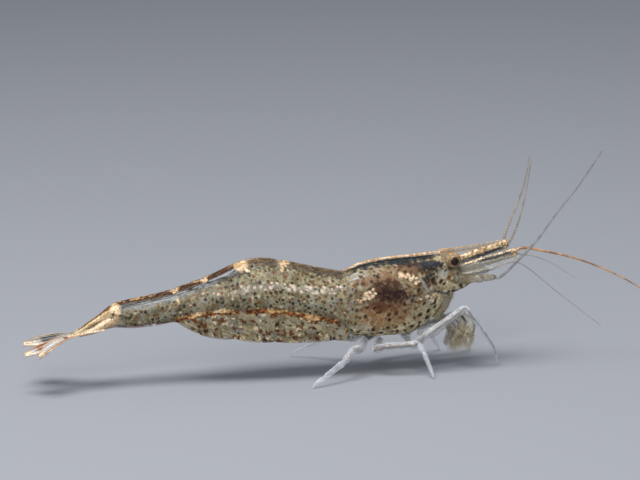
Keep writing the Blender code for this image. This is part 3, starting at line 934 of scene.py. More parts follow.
def flesh_finish():
    """Olive, granular flesh under brown dots, with the organs that show through it, painted light and
    shade, and two painted highlights.
    """
    pigment = settings("pigment")
    graph = Finish("flesh", 0.5, coat=0.02, Specular_IOR_Level=0.12)
    place, skin = graph.place(), graph.skin()
    drop, row = graph.field("drop"), graph.field("row")
    x = graph.split(place)[0]
    head = graph.step(x, -0.6, 1.2)
    # Painted light: lighter towards the lower edge, which faces away from the lamp above,
    # and at the front of the head, which lies in shade. Darker towards the tail.
    painted_light_and_tail_tone = graph.step(graph.field("rim"), 2.2, 0.0) * graph.mix(head, 0.15, 1.55)
    painted_light_and_tail_tone = painted_light_and_tail_tone + graph.step(x, 6.0, 7.2) * 0.35 - graph.step(x, -5.5, -8.0) * 0.28
    pale, deep = (graph.scaled(tuple(tint), 1.0 + painted_light_and_tail_tone) for tint in (pigment.pale, pigment.deep))
    speckled = graph.use(
        skin_effect(), Place=place, Skin=skin, Pale=pale, Deep=deep, Warm=tuple(pigment.warm),
        Warmth=head * 0.45, Dot=tuple(pigment.dot), Spacing=graph.mix(head, pigment.spacing, 0.56),
        Radius=graph.mix(head, 0.15, 0.185), Cream=graph.mix(head, 0.42, 0.2),
    )
    gritty = graph.mix(graph.grain(place, 4.5, 0.38, 0.56, 3.0, 0.65), 0.62, 1.0)
    layers = [(oval(graph, place, *shape) * gritty * strength, tint)
              for *shape, tint, strength in ORGANS_AND_HIGHLIGHTS]
    dots = spots(graph, skin, Spacing=0.58, Radius=0.175, Uneven=0.5, Share=0.75, Ragged=0.5, Seed=17.0)
    shade = graph.blend(dots["Pick"], (0.008, 0.004, 0.003), (0.10, 0.034, 0.010))
    layers.append((dots["Mask"] * head * 0.95, shade))

    # Painted shade: a dark band under the ridge of the carapace, where the see-through gap between shell
    # and flesh shows only shade; and painted blue-grey light in the clear band over the flesh of the
    # tail.
    depth = drop + graph.uneven(place, 2.0, 4.0, 0.65) * 0.8
    gap = graph.step(depth, 0.38, 0.22) * graph.span(x, 0.5, 1.2, 6.5, 7.2)
    band = graph.step(depth, 0.85, 0.4) * graph.step(x, -6.9, -7.6)
    light = graph.mix(graph.step(x, -11.0, -12.5), 0.45, 0.7)
    layers += [(gap * 0.95, (0.003, 0.009, 0.017)), (band * light, (0.31, 0.34, 0.37))]

    # The pale row along the flank: a haze with beads in it.
    beads = spots(graph, skin, Spacing=0.42, Radius=0.18, Uneven=0.6, Share=0.9, Ragged=0.5, Seed=5.0)
    along = graph.step(graph.near(row, 0.0, 0.42), 0.05, 0.5) * graph.span(x, -9.5, -6.0, -0.2, 0.3)
    pearl = graph.blend(beads["Pick"], (0.58, 0.52, 0.46), (0.74, 0.60, 0.44))
    haze = graph.near(row, 0.0, 0.3) * along * 0.18
    layers += [(haze, (0.46, 0.45, 0.45)), (beads["Mask"] * along, pearl)]

    shaken = graph.warped(place, 5.0, 0.28)
    cream_grain = graph.grain(place, 6.0, 0.35, 0.6, 3.0)
    cream = graph.blend(cream_grain, (0.52, 0.34, 0.18), (0.86, 0.70, 0.50))
    for across, height, size in CREAM_BEADS:
        bead = oval(graph, shaken, (across, height), (1.1 * size, size), 0, blur=0.35, ragged=0.3)
        layers.append((bead * 0.9, cream))
    colour = graph.layers(speckled["Color"], layers)
    return graph.cover(colour, None, (speckled["Relief"], 0.5, 0.04))


# The organs in the side view, and last two painted highlights, blue-white streaks of reflected light on
# the carapace: (X, Z), half sizes, turn in degrees, blur, raggedness, colour, strength.
ORGANS_AND_HIGHLIGHTS = (
    ((2.9, 4.6), (1.75, 1.3), 0, 0.5, 2.4, (0.31, 0.145, 0.05), 0.64),
    ((3.0, 5.9), (2.1, 1.2), 0, 0.5, 3.0, (0.085, 0.036, 0.015), 0.8),
    ((2.8, 6.85), (1.5, 0.42), 0, 0.4, 2.6, (0.22, 0.115, 0.06), 0.75),
    ((3.3, 6.45), (1.15, 0.42), 0, 0.3, 3.4, (0.030, 0.011, 0.006), 0.92),
    ((3.35, 5.8), (1.15, 0.46), -3, 0.25, 2.4, (0.018, 0.003, 0.003), 1.0),
    ((2.5, 5.0), (1.2, 0.35), -12, 0.3, 3.2, (0.10, 0.035, 0.015), 0.75),
    ((5.0, 6.9), (0.9, 0.35), -20, 0.35, 2.6, (0.05, 0.03, 0.018), 0.7),
    ((5.7, 7.55), (2.1, 0.42), -3, 0.4, 2.6, (0.07, 0.035, 0.016), 0.85),
    ((6.2, 7.5), (1.1, 0.34), -3, 0.4, 3.4, (0.006, 0.004, 0.004), 1.0),
    ((4.7, 7.75), (0.8, 0.16), -3, 0.4, 3.4, (0.008, 0.005, 0.004), 0.95),
    ((4.2, 7.4), (1.3, 0.3), 0, 0.4, 3.4, (0.20, 0.11, 0.055), 0.7),
    ((6.6, 7.7), (1.0, 0.16), -3, 0.3, 1.6, (0.004, 0.012, 0.03), 0.95),
    ((6.35, 6.9), (0.5, 0.45), 0, 0.3, 2.4, (0.012, 0.008, 0.008), 0.97),
    ((5.85, 6.35), (0.62, 0.13), -58, 0.45, 1.2, (0.36, 0.36, 0.35), 0.7),
    ((7.25, 5.62), (0.7, 0.09), -20, 0.4, 1.4, (0.02, 0.035, 0.07), 0.85),
    ((7.35, 7.0), (0.35, 0.3), 0, 0.4, 2.4, (0.40, 0.40, 0.38), 0.6),
    # Painted highlights: blue-white streaks of reflected light, not organs.
    ((0.95, 7.24), (0.55, 0.03), 19, 0.7, 0.5, (0.36, 0.42, 0.50), 0.9),
    ((1.15, 7.06), (0.62, 0.035), 17, 0.7, 0.5, (0.40, 0.46, 0.54), 0.9),
)
# Single cream beads in the flesh: X, Z and half size.
CREAM_BEADS = (
    (4.23, 7.13, 0.2), (4.55, 7.0, 0.11), (4.74, 7.1, 0.13), (4.9, 6.84, 0.14), (5.1, 7.0, 0.1),
    (5.31, 6.86, 0.1), (5.23, 6.56, 0.13), (5.45, 6.66, 0.08), (1.6, 5.97, 0.15),
    (1.86, 6.1, 0.12), (2.1, 6.3, 0.1), (2.03, 5.83, 0.13), (1.78, 5.72, 0.13),
    (1.45, 5.66, 0.14), (1.15, 5.49, 0.12), (0.95, 5.62, 0.08), (2.25, 6.0, 0.08),
    (6.07, 5.49, 0.14), (6.35, 5.4, 0.08), (6.58, 5.6, 0.13), (6.43, 5.17, 0.12),
    (7.01, 5.28, 0.1), (5.56, 5.37, 0.09), (6.85, 5.5, 0.08), (6.2, 5.2, 0.08),
    (5.69, 3.14, 0.1), (3.68, 2.85, 0.12), (4.19, 2.82, 0.12), (3.2, 2.8, 0.1),
    (7.6, 6.35, 0.1), (8.0, 6.6, 0.09), (8.3, 6.95, 0.1), (8.7, 6.6, 0.08), (7.3, 6.7, 0.07),
)


def flesh_points(rows, columns):
    """The flesh's surface, as rings along X that start at the middle of the belly.

    A ring is a superellipse whose power grows from 2 above to 3.2 below, so that the belly is
    fuller than the back. It is widest where the shell is, kept to the middle of its own
    height, and closes to a point at both ends. Low folds cross the tail's flanks.
    """
    x = np.linspace(*FLESH_ENDS, rows)[:, None]
    angle = np.linspace(0, 2 * math.pi, columns + 1)[None, :-1]
    top, bottom = flesh_top(x), flesh_bottom(x)
    widest = back(x) + (lower_edge(x) - back(x)) * WIDEST_DEPTH_SHARE
    widest = np.clip(widest, bottom + 0.35 * (top - bottom), bottom + 0.62 * (top - bottom))
    head_end, tail_end = 1 - ease(x, *HEAD_CLOSING), ease(x, *TAIL_CLOSING)
    closing = np.sqrt(np.clip(head_end, 0, 1)) * np.sqrt(np.clip(tail_end, 0, 1))
    wide = np.maximum((half_width(x) - FLESH_GAP) * closing, 0.05)
    up, across = -np.cos(angle), np.sin(angle)
    tall = np.where(up > 0, top - widest, widest - bottom)
    power = BACK_POWER + BELLY_POWER_MORE * ease(-up, 0.0, 0.6)
    reach = (np.abs(across / wide) ** power + np.abs(up / tall) ** power) ** (-1 / power)
    folds = FOLD_DEPTH * np.sin(x * FOLD_RATE) * ease(-x, 0.5, 3.0) * np.abs(across)
    reach = reach * (1 - folds)
    return np.stack(np.broadcast_arrays(x, across * reach, widest + up * reach), axis=2)


def flesh_map(points):
    """The flesh's map: X with its slip, and the way round the girth from the widest place."""
    columns = points.shape[1]
    seamed = np.concatenate([points, points[:, :1]], axis=1)
    girth = np.linalg.norm(np.diff(seamed, axis=1), axis=2)
    around = np.concatenate([np.zeros((len(points), 1)), np.cumsum(girth, axis=1)], axis=1)
    folded = np.minimum(around, around[:, -1:] - around)
    along = slipped(seamed[..., 0], seamed[..., 1])
    return np.stack([along, folded - folded[:, columns // 4, None]], axis=2)


class SHRIMP_OT_flesh(bpy.types.Operator):
    """Make the one skin of flesh that fills the trunk under the clear plates"""

    bl_idname = "shrimp.flesh"
    bl_label = "Flesh"

    def execute(self, context):
        points = flesh_points(440, 152)
        shape = outward(ring_surface(points, flesh_map(points)))
        trunk = ["carapace", *(f"abdomen_{number}" for number in range(1, 7))]
        add_piece("flesh", shape, flesh_finish(), [*trunk, "mouthparts"], trunk_fields(points))
        return {"FINISHED"}


class SHRIMP_OT_shell(bpy.types.Operator):
    """Make the clear carapace and the six plates of the abdomen"""

    bl_idname = "shrimp.shell"
    bl_label = "Shell"

    def execute(self, context):
        wall, finish = settings("shell").wall, shell_finish()
        plates = {"carapace": plate_shape(
            ORBIT, CARAPACE_REAR, wall, relief=carapace_relief, rows=120, columns=181
        )}
        for number in range(1, 7):
            plates[f"abdomen_{number}"] = plate_shape(
                *JOINTS[number - 1 : number + 1], wall, LOBE_RISE if number < 6 else 0.0, TUCK,
                OVERLAP, relief=covering_flaps if number == 2 else None,
            )
        for node, (shape, ring) in plates.items():
            add_piece(f"shell_{node}", shape, finish, [node], trunk_fields(ring))
        return {"FINISHED"}


# ---------------------------------------------------------------- limbs

UP, SIDEWAYS = (0, 0, 1), (0, 1, 0)
NO_DROOP, LIGHT_DROOP = (0, 0, 0), (0, 0, -0.15)


def pinched(points, count, radii, pinch, reach=0.22, passes=10):
    """A jointed limb: its path, and its radius at each place. At each corner the radius dips
    as a bell curve, with a low swelling on both sides of it."""
    path = bent_path(points, count, passes)
    corners = lengths_along(np.array(points, float))
    places = np.linspace(0, corners[-1], count)
    radius = np.interp(places, corners, radii)
    for corner in corners[1:-1]:
        away = (places - corner) / reach
        swelling = 0.5 * pinch * np.exp(-(np.abs(away) - 1.9) ** 2)
        radius = radius * (1 - pinch * np.exp(-away**2) + swelling)
    return path, radius


def add_limb(name, path, radius, up, sides, finish, replaced=(), fields=None):
    """A round tube as a piece."""
    add_piece(name, tube(path, radius, radius, up, sides), finish, replaced, fields)


def repeated(way, path):
    """The same way at each point of a path."""
    return np.broadcast_to(np.array(way), path.shape)


def share_field(count, sides):
    """How far along a tube each of its points lies, from 0 to 1."""
    return {"share": np.repeat(np.linspace(0, 1, count), sides)}


def clear_limb_finish(name, colour, alpha, freckle, freckle_share, spacing=0.3, sheen=0.5, rim=None):
    """A glassy limb: shiny, with freckles under its skin. rim is how much of the view its
    wall takes where it is seen edge on, as glass is deeper there."""
    graph = Finish(name, 0.22, coat=0.6, Sheen_Weight=sheen, Sheen_Roughness=0.4,
                   Specular_IOR_Level=0.4)
    place, skin = graph.place(), graph.skin()
    cloud = graph.grain(place, 2.5, 0.35, 0.7, 3.0)
    freckles = spots(graph, skin, Spacing=spacing, Radius=0.3 * spacing, Uneven=0.6,
                     Share=freckle_share, Ragged=0.4, Seed=2.0)["Mask"]
    darker = tuple(0.75 * value for value in colour)
    tinted = graph.blend(freckles, graph.blend(cloud, darker, colour), freckle)
    body = graph.mix(cloud, alpha, alpha * 1.25)
    if rim:
        facing = graph.result("LayerWeight", {"Blend": 0.4}, "Facing")
        body = graph.mix(graph.step(facing, 0.25, 0.75), body, rim)
    return graph.cover(tinted, freckles * 0.9 | body, (graph.noise(place, 9.0), 0.3, 0.02))


def speckled_limb_finish(name, base, deep, warm, dot, alpha, spacing, cream):
    """An olive or golden limb with the skin's own speckles on it."""
    graph = Finish(name, 0.3, coat=0.5)
    speckled = graph.use(
        skin_effect(), Place=graph.place(), Skin=graph.skin(), Pale=base, Deep=deep, Warm=warm,
        Warmth=0.8, Dot=dot, Spacing=spacing, Radius=0.27 * spacing, Cream=cream,
    )
    return graph.cover(speckled["Color"], alpha, (speckled["Relief"], 0.5, 0.03))


def hair_finish(name, colour, alpha):
    """Fine hairs, a little darker and lighter from place to place."""
    graph = Finish(name, 0.4)
    darker = tuple(0.6 * value for value in colour)
    return graph.cover(graph.blend(graph.grain(graph.place(), 5.0, 0.3, 0.7), darker, colour), alpha)


def tufts(rng, path, ways, count, length, radius, jitter, spot, droop=LIGHT_DROOP):
    """Hairs from places along a path. Their ways are those listed for the path, shaken by
    jitter, and their roots are shaken by spot."""
    share = np.sort(rng.uniform(0, 1, count))
    index, known = share * (len(path) - 1), np.arange(len(path))
    roots, way = (np.stack([np.interp(index, known, listed[:, k]) for k in range(3)], axis=1)
                  for listed in (path, ways))
    roots = roots + rng.normal(0, spot, (count, 3))
    way = unit(way) + rng.normal(0, jitter, (count, 3))
    lengths = length * rng.uniform(0.6, 1.0, count)
    root_uv = np.stack([share, rng.uniform(0, 1, count)], axis=1)
    return bristles(roots, way, lengths, radius, droop, root_uv)


# ---------------------------------------------------------------- head

def ball(centre, radius):
    """A sphere from a stack of rings, closed at its poles, which lie along Y.

    The map runs round the poles and from pole to pole, both in millimetres.
    """
    rings, columns, hole = 64, 96, 0.02
    from_pole = np.linspace(hole, math.pi - hole, rings)[:, None]
    turn = np.linspace(0, 2 * math.pi, columns + 1)[None]
    out = np.sin(from_pole)
    points = np.broadcast_arrays(out * np.cos(turn), np.cos(from_pole), out * np.sin(turn))
    points = np.array(centre) + radius * np.stack(points, axis=2)
    uv = np.stack(np.broadcast_arrays(radius * turn, radius * from_pole), axis=2)
    return outward(ring_surface(points[:, :-1], uv))


def cornea_finish():
    """The clear outside of the eye, glossy over tiny facets."""
    graph = Finish("eye_surface", 0.12, alpha=0.1, coat=1.0)
    place = graph.place()
    pattern = {"Vector": place, "Scale": 11.0}
    facets = graph.result("TexVoronoi", pattern, feature="DISTANCE_TO_EDGE")
    mottled = graph.grain(place, 4.0, 0.35, 0.7, 3.0)
    colour = graph.blend(mottled, tone(120, 104, 84), tone(84, 70, 56))
    return graph.cover(colour, relief=(facets, 0.2, 0.02))


def iris_finish(radius):
    """The eye under it, in rings round the outward pole: near-black, dark red, tan, brown."""
    graph = Finish("eye_iris", 0.4, Specular_IOR_Level=0.12)
    place = graph.place()
    along = graph.split(graph.skin())[1]
    from_pole = graph.math("MINIMUM", along, math.pi * radius - along)
    away = from_pole + graph.uneven(place, 6.0, 4.0) * 0.24
    mottled = graph.grain(place, 7.0, 0.36, 0.62, 4.0, 0.65)
    gilded = graph.grain(place, 9.0, 0.45, 0.6)
    return graph.cover(graph.layers(graph.blend(mottled, tone(184, 162, 128), tone(134, 110, 86)), [
        (graph.near(away, 0.48, 0.06) * 0.7, tone(108, 82, 60)),
        (graph.step(away, 0.64, 0.8), graph.blend(gilded, tone(128, 98, 70), tone(226, 192, 140))),
        (graph.step(away, 0.4, 0.26), tone(66, 30, 22)),
        (graph.step(away, 0.27, 0.2), tone(6, 3, 5)),
    ]))


class SHRIMP_OT_eyes(bpy.types.Operator):
    """Make both eyes: a clear faceted ball round a ringed one, on a short stalk"""

    bl_idname = "shrimp.eyes"
    bl_label = "Eyes"

    def execute(self, context):
        surface, iris = cornea_finish(), iris_finish(IRIS_RADIUS)
        stalk = speckled_limb_finish(
            "eyestalk", tone(160, 146, 120), tone(116, 104, 84), tone(150, 106, 62),
            tone(60, 40, 26), alpha=0.9, spacing=0.26, cream=0.5,
        )
        count = 24
        girths = (0.26, 0.3, 0.4, 0.2)
        radius = np.interp(np.linspace(0, 1, count), (0, 0.5, 0.85, 1), girths)
        for side_name, side in SIDES.items():
            centre = x, _, z = EYE_AT[side_name]
            add_piece(f"eye_surface_{side_name}", ball(centre, EYE_RADIUS), surface,
                      [f"eye_{side_name}"])
            add_piece(f"eye_iris_{side_name}", ball(centre, IRIS_RADIUS), iris)
            route = ((7.45, side * 0.12, z - 0.2), (7.72, side * 0.34, z - 0.1), (x, side * 0.95, z))
            add_limb(f"eye_stalk_{side_name}", smooth_path(route, count), radius, UP, 20, stalk,
                     [f"eyestalk_{side_name}"])
        return {"FINISHED"}


ROSTRUM_LINE = ((7.25, 8.34), (7.6, 8.37), (9.0, 8.47), (10.6, 8.7), (12.42, 9.0))
# The teeth above and below: from and to, as shares of the blade, how many, and how high.
TEETH_ABOVE, TEETH_BELOW = (0.0, 0.86, 12, 0.075), (0.45, 0.95, 5, 0.05)
BLADE_ABOVE, BLADE_BELOW, BLADE_LEAST = 0.16, 0.2, 0.012


def saw_teeth(share, start, end, count, height):
    """Teeth along an edge, which each rise as a power of 1.6 and fall at once."""
    tooth = ((share - start) * count / (end - start)) % 1.0
    return height * tooth**1.6 * (share > start) * (share < end)


def rostrum_shape():
    """The blade on edge. Above its middle line it thins as a power of 0.7 towards the tip;
    below, it bows as half a sine wave."""
    x = np.linspace(ROSTRUM_LINE[0][0], ROSTRUM_LINE[-1][0], 420)
    share = (x - x[0]) / (x[-1] - x[0])
    middle = smooth_line(ROSTRUM_LINE)(x)
    upper = BLADE_ABOVE * (1 - share) ** 0.7
    upper = upper + saw_teeth(share, *TEETH_ABOVE) * ease(share, 0.0, 0.1)
    lower = BLADE_BELOW * np.sin(np.pi * (0.15 + 0.85 * share)) ** 0.8 + saw_teeth(share, *TEETH_BELOW)
    upper = np.maximum(upper * (1 - share**6), BLADE_LEAST)
    lower = np.maximum(lower * (1 - share**4), BLADE_LEAST)
    path = np.stack([x, 0 * x, middle + (upper - lower) / 2], axis=1)
    return leaf(path, (upper + lower) / 2, 0.07, UP, rib=0.03, columns=13)


def rostrum_finish():
    """A clear grey blade with gold along its edges and over its root."""
    graph = Finish("rostrum", 0.2, coat=0.6)
    along, across, _ = graph.split(graph.skin())
    place = graph.place()
    gold = graph.step(abs(across), 0.2, 0.6) * graph.grain(place, 3.5, 0.3, 0.5)
    gold = gold | graph.step(along, 0.12, 0.03)
    colour = graph.blend(gold, tone(160, 156, 148), tone(214, 180, 132))
    shown = graph.mix(gold, 0.3, 0.92) * graph.mix(along, 1.0, 0.6)
    return graph.cover(colour, shown, (graph.noise(place, 12.0), 0.25, 0.02))


class SHRIMP_OT_rostrum(bpy.types.Operator):
    """Make the toothed blade over the head"""

    bl_idname = "shrimp.rostrum"
    bl_label = "Rostrum"

    def execute(self, context):
        add_piece("rostrum_blade", rostrum_shape(), rostrum_finish(), ["rostrum"])
        return {"FINISHED"}


ANTENNULES = {
    "right": (
        (7.75, -0.4, 6.95), (9.0, -0.5, 7.17), (10.8, -0.55, 7.62), (12.1, -0.58, 7.95),
        (12.9, -0.6, 8.12)),
    "left": (
        (7.75, 0.4, 6.95), (8.85, 0.5, 7.5), (10.65, 0.55, 8.05), (11.75, 0.6, 8.33),
        (12.5, 0.62, 8.52)),
}
ANTENNULE_JOINTS, JOINT_REACH = (0.46, 0.73), 0.014
ANTENNA_BASE = ((8.1, 1.1, 6.6), (9.6, 1.15, 6.48), (11.15, 1.2, 6.5))
ANTENNAL_SCALE = ((8.55, 1.35, 7.12), (9.6, 1.5, 7.3), (11.2, 1.52, 7.55), (12.7, 1.45, 7.9))
MOUTH_PADDLE = ((8.05, 0.66, 5.5), (7.69, 0.72, 5.1), (7.3, 0.76, 4.4), (6.7, 0.74, 3.6))
MAXILLIPED = ((7.1, 0.32, 3.8), (7.75, 0.33, 3.3), (7.95, 0.33, 2.4), (7.6, 0.32, 1.5))
RINGS_PER_MM, RING_HEIGHT = 4.5, 0.035
# A feeler's colour, the colour of its joints, and its opacity at the root.
FEELER_LOOKS = {
    "gold": (tone(214, 168, 108), tone(140, 92, 52), 0.9),
    "pale": (tone(176, 160, 132), tone(128, 116, 98), 0.62),
    "grey": (tone(158, 158, 154), tone(120, 120, 118), 0.6),
    "faint": (tone(166, 162, 152), tone(132, 128, 120), 0.42),
}
# Each feeler's look, its radius at the root and at the tip, and its course.
FEELERS = {
    "antennule_flagellum_outer_right": ("gold", 0.13, 0.05, (
        (12.85, -0.6, 8.25), (13.3, -0.64, 8.4), (14.4, -0.8, 8.22), (17.2, -1.2, 7.47),
        (20.0, -1.6, 6.22), (23.0, -2.0, 4.35))),
    "antennule_flagellum_inner_right": ("faint", 0.08, 0.025, (
        (12.85, -0.6, 8.02), (13.3, -0.5, 7.86), (14.2, -0.3, 7.66), (15.5, 0.0, 7.04),
        (17.6, 0.4, 5.6))),
    "antennule_flagellum_outer_left": ("pale", 0.14, 0.05, (
        (12.35, 0.66, 8.55), (12.3, 0.75, 9.1), (13.0, 0.9, 10.7), (13.85, 1.2, 12.6),
        (14.4, 1.5, 14.7))),
    "antennule_flagellum_inner_left": ("pale", 0.12, 0.04, (
        (12.5, 0.6, 8.55), (12.8, 0.52, 9.0), (13.3, 0.5, 10.2), (13.8, 0.5, 12.0),
        (14.3, 0.5, 14.7))),
    "antenna_flagellum_right": ("grey", 0.13, 0.07, (
        (11.1, -1.2, 6.5), (11.5, -1.4, 6.55), (12.4, -2.1, 7.6), (13.9, -2.6, 9.3),
        (15.3, -3.2, 11.4), (16.6, -4.0, 13.3), (18.1, -5.4, 16.1))),
    "antenna_flagellum_left": ("faint", 0.1, 0.03, (
        (11.1, 1.2, 6.5), (11.5, 1.35, 6.52), (12.6, 1.7, 6.8), (13.9, 2.0, 6.55),
        (16.7, 3.0, 4.1), (20.2, 4.0, 1.1))),
}


def mirrored(points, side):
    """Points given for the animal's left, taken to the side asked for."""
    return [(x, side * y, z) for x, y, z in points]


def antennule_finish(name, gold_down, line_at):
    """Gold grains over clear grey, with dark navy lines of painted shade: the shadow in the gap between
    the two antennules. gold_down says how far the gold comes down the side, and line_at where the painted
    shade line runs, both from -1 at the top to 1; the tip is gold all round."""
    graph = Finish(name, 0.35, coat=0.2, Specular_IOR_Level=0.25)
    place, skin, share = graph.place(), graph.skin(), graph.field("share")
    ragged = graph.uneven(place, 2.5, 3.0) * 0.8
    low = graph.field("under") + ragged
    grain = graph.grain(place, 6.0, 0.4, 0.6, 4.0, 0.65)
    beads = spots(graph, skin, Spacing=0.34, Radius=0.12, Uneven=0.5, Share=0.6, Ragged=0.4, Seed=9.0)
    gold = graph.blend(grain, tone(150, 112, 70), tone(228, 200, 156))
    gold = graph.blend(beads["Mask"], gold, tone(250, 230, 192))
    grey = graph.blend(graph.grain(place, 3.0, 0.4, 0.6, 3.0), tone(86, 86, 74), tone(138, 130, 108))
    tip = graph.step(share + ragged * 0.1, 0.82, 0.9)
    thin_gold = graph.near(low, line_at + 0.5, 0.16) * graph.step(share, 0.4, 0.6)
    gilded = graph.step(low, gold_down + 0.12, gold_down - 0.12) | tip | thin_gold * 0.6
    gilded = gilded * graph.grain(place, 4.2, 0.34, 0.48, 3.0, 0.6)
    # Painted shade: dark navy lines where the gap between the antennules lies in shadow.
    dark = graph.near(low, line_at, 0.42) * graph.span(share, 0.34, 0.44, 0.78, 0.86)
    thin = graph.near(low, line_at + 1.0, 0.16) * graph.step(share, 0.5, 0.62)
    colour = graph.layers(grey, [
        (gilded, gold), (dark * 0.96, tone(26, 34, 46)), (thin * 0.85, tone(38, 58, 78)),
    ])
    return graph.cover(colour, graph.mix(gilded | dark | thin, 0.56, 0.96), (grain, 0.4, 0.03))


def feeler_finish(name, colour, band, alpha):
    """A whip of short rings, each with a darker joint, paler and clearer towards its tip."""
    graph = Finish(name, 0.3, coat=0.4, Sheen_Weight=0.3)
    ring = graph.math("FRACT", graph.split(graph.skin())[0] * RINGS_PER_MM)
    joint = graph.step(ring, 0.2, 0.0) | graph.step(ring, 0.85, 1.0)
    patchy = graph.grain(graph.place(), 1.6, 0.35, 0.65)
    ringed = graph.blend(joint * 0.6, graph.blend(patchy, band, colour), band)
    return graph.cover(ringed, graph.mix(graph.field("share"), alpha, 0.6 * alpha))


class SHRIMP_OT_antennules(bpy.types.Operator):
    """Make the two golden antennules"""

    bl_idname = "shrimp.antennules"
    bl_label = "Antennules"

    def execute(self, context):
        # The painted shade line runs high on the near right antennule and low on the far left one.
        finishes = {"right": antennule_finish("antennule_right", -0.8, -0.45),
                    "left": antennule_finish("antennule_left", 0.0, 0.45)}
        count, sides = 150, 28
        share = np.linspace(0, 1, count)
        girths = (0.22, 0.33, 0.34, 0.3, 0.33, 0.22)
        radius = np.interp(share, (0, 0.1, 0.45, 0.7, 0.93, 1), girths)
        # A joint dips as a bell curve, with a low swelling on both sides of it.
        for joint in ANTENNULE_JOINTS:
            away = (share - joint) / JOINT_REACH
            radius = radius * (1 - 0.22 * np.exp(-away**2) + 0.1 * np.exp(-(np.abs(away) - 1.8) ** 2))
        turn = np.linspace(0, 2 * math.pi, sides + 1)[:-1]
        fields = {**share_field(count, sides), "under": np.broadcast_to(-np.sin(turn), (count, sides))}
        for side_name, route in ANTENNULES.items():
            shape = tube(smooth_path(route, count), 0.8 * radius, radius, UP, sides)
            add_piece(f"antennule_{side_name}_peduncle", shape, finishes[side_name],
                      [f"antennule_{side_name}"], fields)
        return {"FINISHED"}


class SHRIMP_OT_feelers(bpy.types.Operator):
    """Make the six whip-like feelers"""

    bl_idname = "shrimp.feelers"
    bl_label = "Feelers"

    def execute(self, context):
        finishes = {look: feeler_finish(f"feeler_{look}", *given)
                    for look, given in FEELER_LOOKS.items()}
        count, sides = 260, 10
        share = np.linspace(0, 1, count)
        for name, (look, thick, thin, route) in FEELERS.items():
            path = smooth_path(route, count)
            # The radius falls as a power of 0.7 of the way along, under rings of a cosine wave.
            ringed = 1 + RING_HEIGHT * np.cos(2 * math.pi * RINGS_PER_MM * lengths_along(path))
            radius = (thick + (thin - thick) * share**0.7) * ringed
            radius = radius * np.interp(share, (0, 0.03, 0.985, 1), (1.35, 1.0, 1.0, 0.3))
            add_limb(f"{name}_whip", path, radius, (0.1, 1, 0), sides, finishes[look],
                     [name], share_field(count, sides))
        return {"FINISHED"}


def scale_finish():
    """A nearly clear, cloudy blade with a firmer rib along its outer edge."""
    graph = Finish("antennal_scale", 0.3, coat=0.3, Specular_IOR_Level=0.3)
    rib = graph.near(graph.split(graph.skin())[1], -0.75, 0.22)
    cloud = graph.grain(graph.place(), 2.2, 0.4, 0.7, 3.0)
    colour = graph.blend(cloud, tone(144, 142, 132), tone(122, 112, 86))
    return graph.cover(colour, graph.mix(cloud, 0.12, 0.24) | rib * 0.4)


class SHRIMP_OT_antennae(bpy.types.Operator):
    """Make the base of each antenna and the clear, fringed scale beside it"""

    bl_idname = "shrimp.antennae"
    bl_label = "Antennae"

    def execute(self, context):
        base_finish = speckled_limb_finish(
            "antenna_base", tone(156, 150, 122), tone(104, 98, 70), tone(176, 140, 86),
            tone(120, 74, 36), alpha=0.52, spacing=0.42, cream=0.7,
        )
        finish = scale_finish()
        rng = np.random.default_rng(SEED)
        hair = hair_finish("scale_fringe", tuple(settings("limb").hair), 0.45)
        for side_name, side in SIDES.items():
            path, radius = pinched(mirrored(ANTENNA_BASE, side), 90, (0.44, 0.35, 0.19), pinch=0.18)
            share = np.linspace(0, 1, 90)
            radius = radius * (1 - 0.2 * np.exp(-(((share - 0.72) / 0.02) ** 2)))
            radius = radius * np.interp(share, (0, 0.05, 0.97, 1), (0.7, 1, 1, 0.6))
            add_limb(f"antenna_base_{side_name}_segments", path, radius, UP, 24, base_finish,
                     [f"antenna_base_{side_name}"])
            path = smooth_path(mirrored(ANTENNAL_SCALE, side), 70)
            share = np.linspace(0, 1, 70)
            # The scale's outline is a rounded oblong that narrows towards the tip.
            rounded = np.sqrt(np.clip(1 - (2 * share**0.85 - 1) ** 4, 0.01, 1))
            width = np.maximum(0.52 * rounded * (1 - 0.25 * share), 0.05)
            across = unit(np.array((0.0, 1.0, -0.45 * side)))
            shape = leaf(path, width, 0.05, across, camber=0.18, rib=0.02)
            add_piece(f"scale_{side_name}", shape, finish, [f"antennal_scale_{side_name}"])
            edge = path - across * width[:, None] * side * 0.97
            way = repeated(-across * side * 0.55, path) + np.gradient(path, axis=0) / 0.06
            fringe = tufts(rng, edge[18:], way[18:], 150, 0.42, 0.009, jitter=0.05, spot=0.012,
                           droop=NO_DROOP)
            add_piece(f"scale_fringe_{side_name}", fringe, hair, map_name=HAIR_MAP)
        return {"FINISHED"}


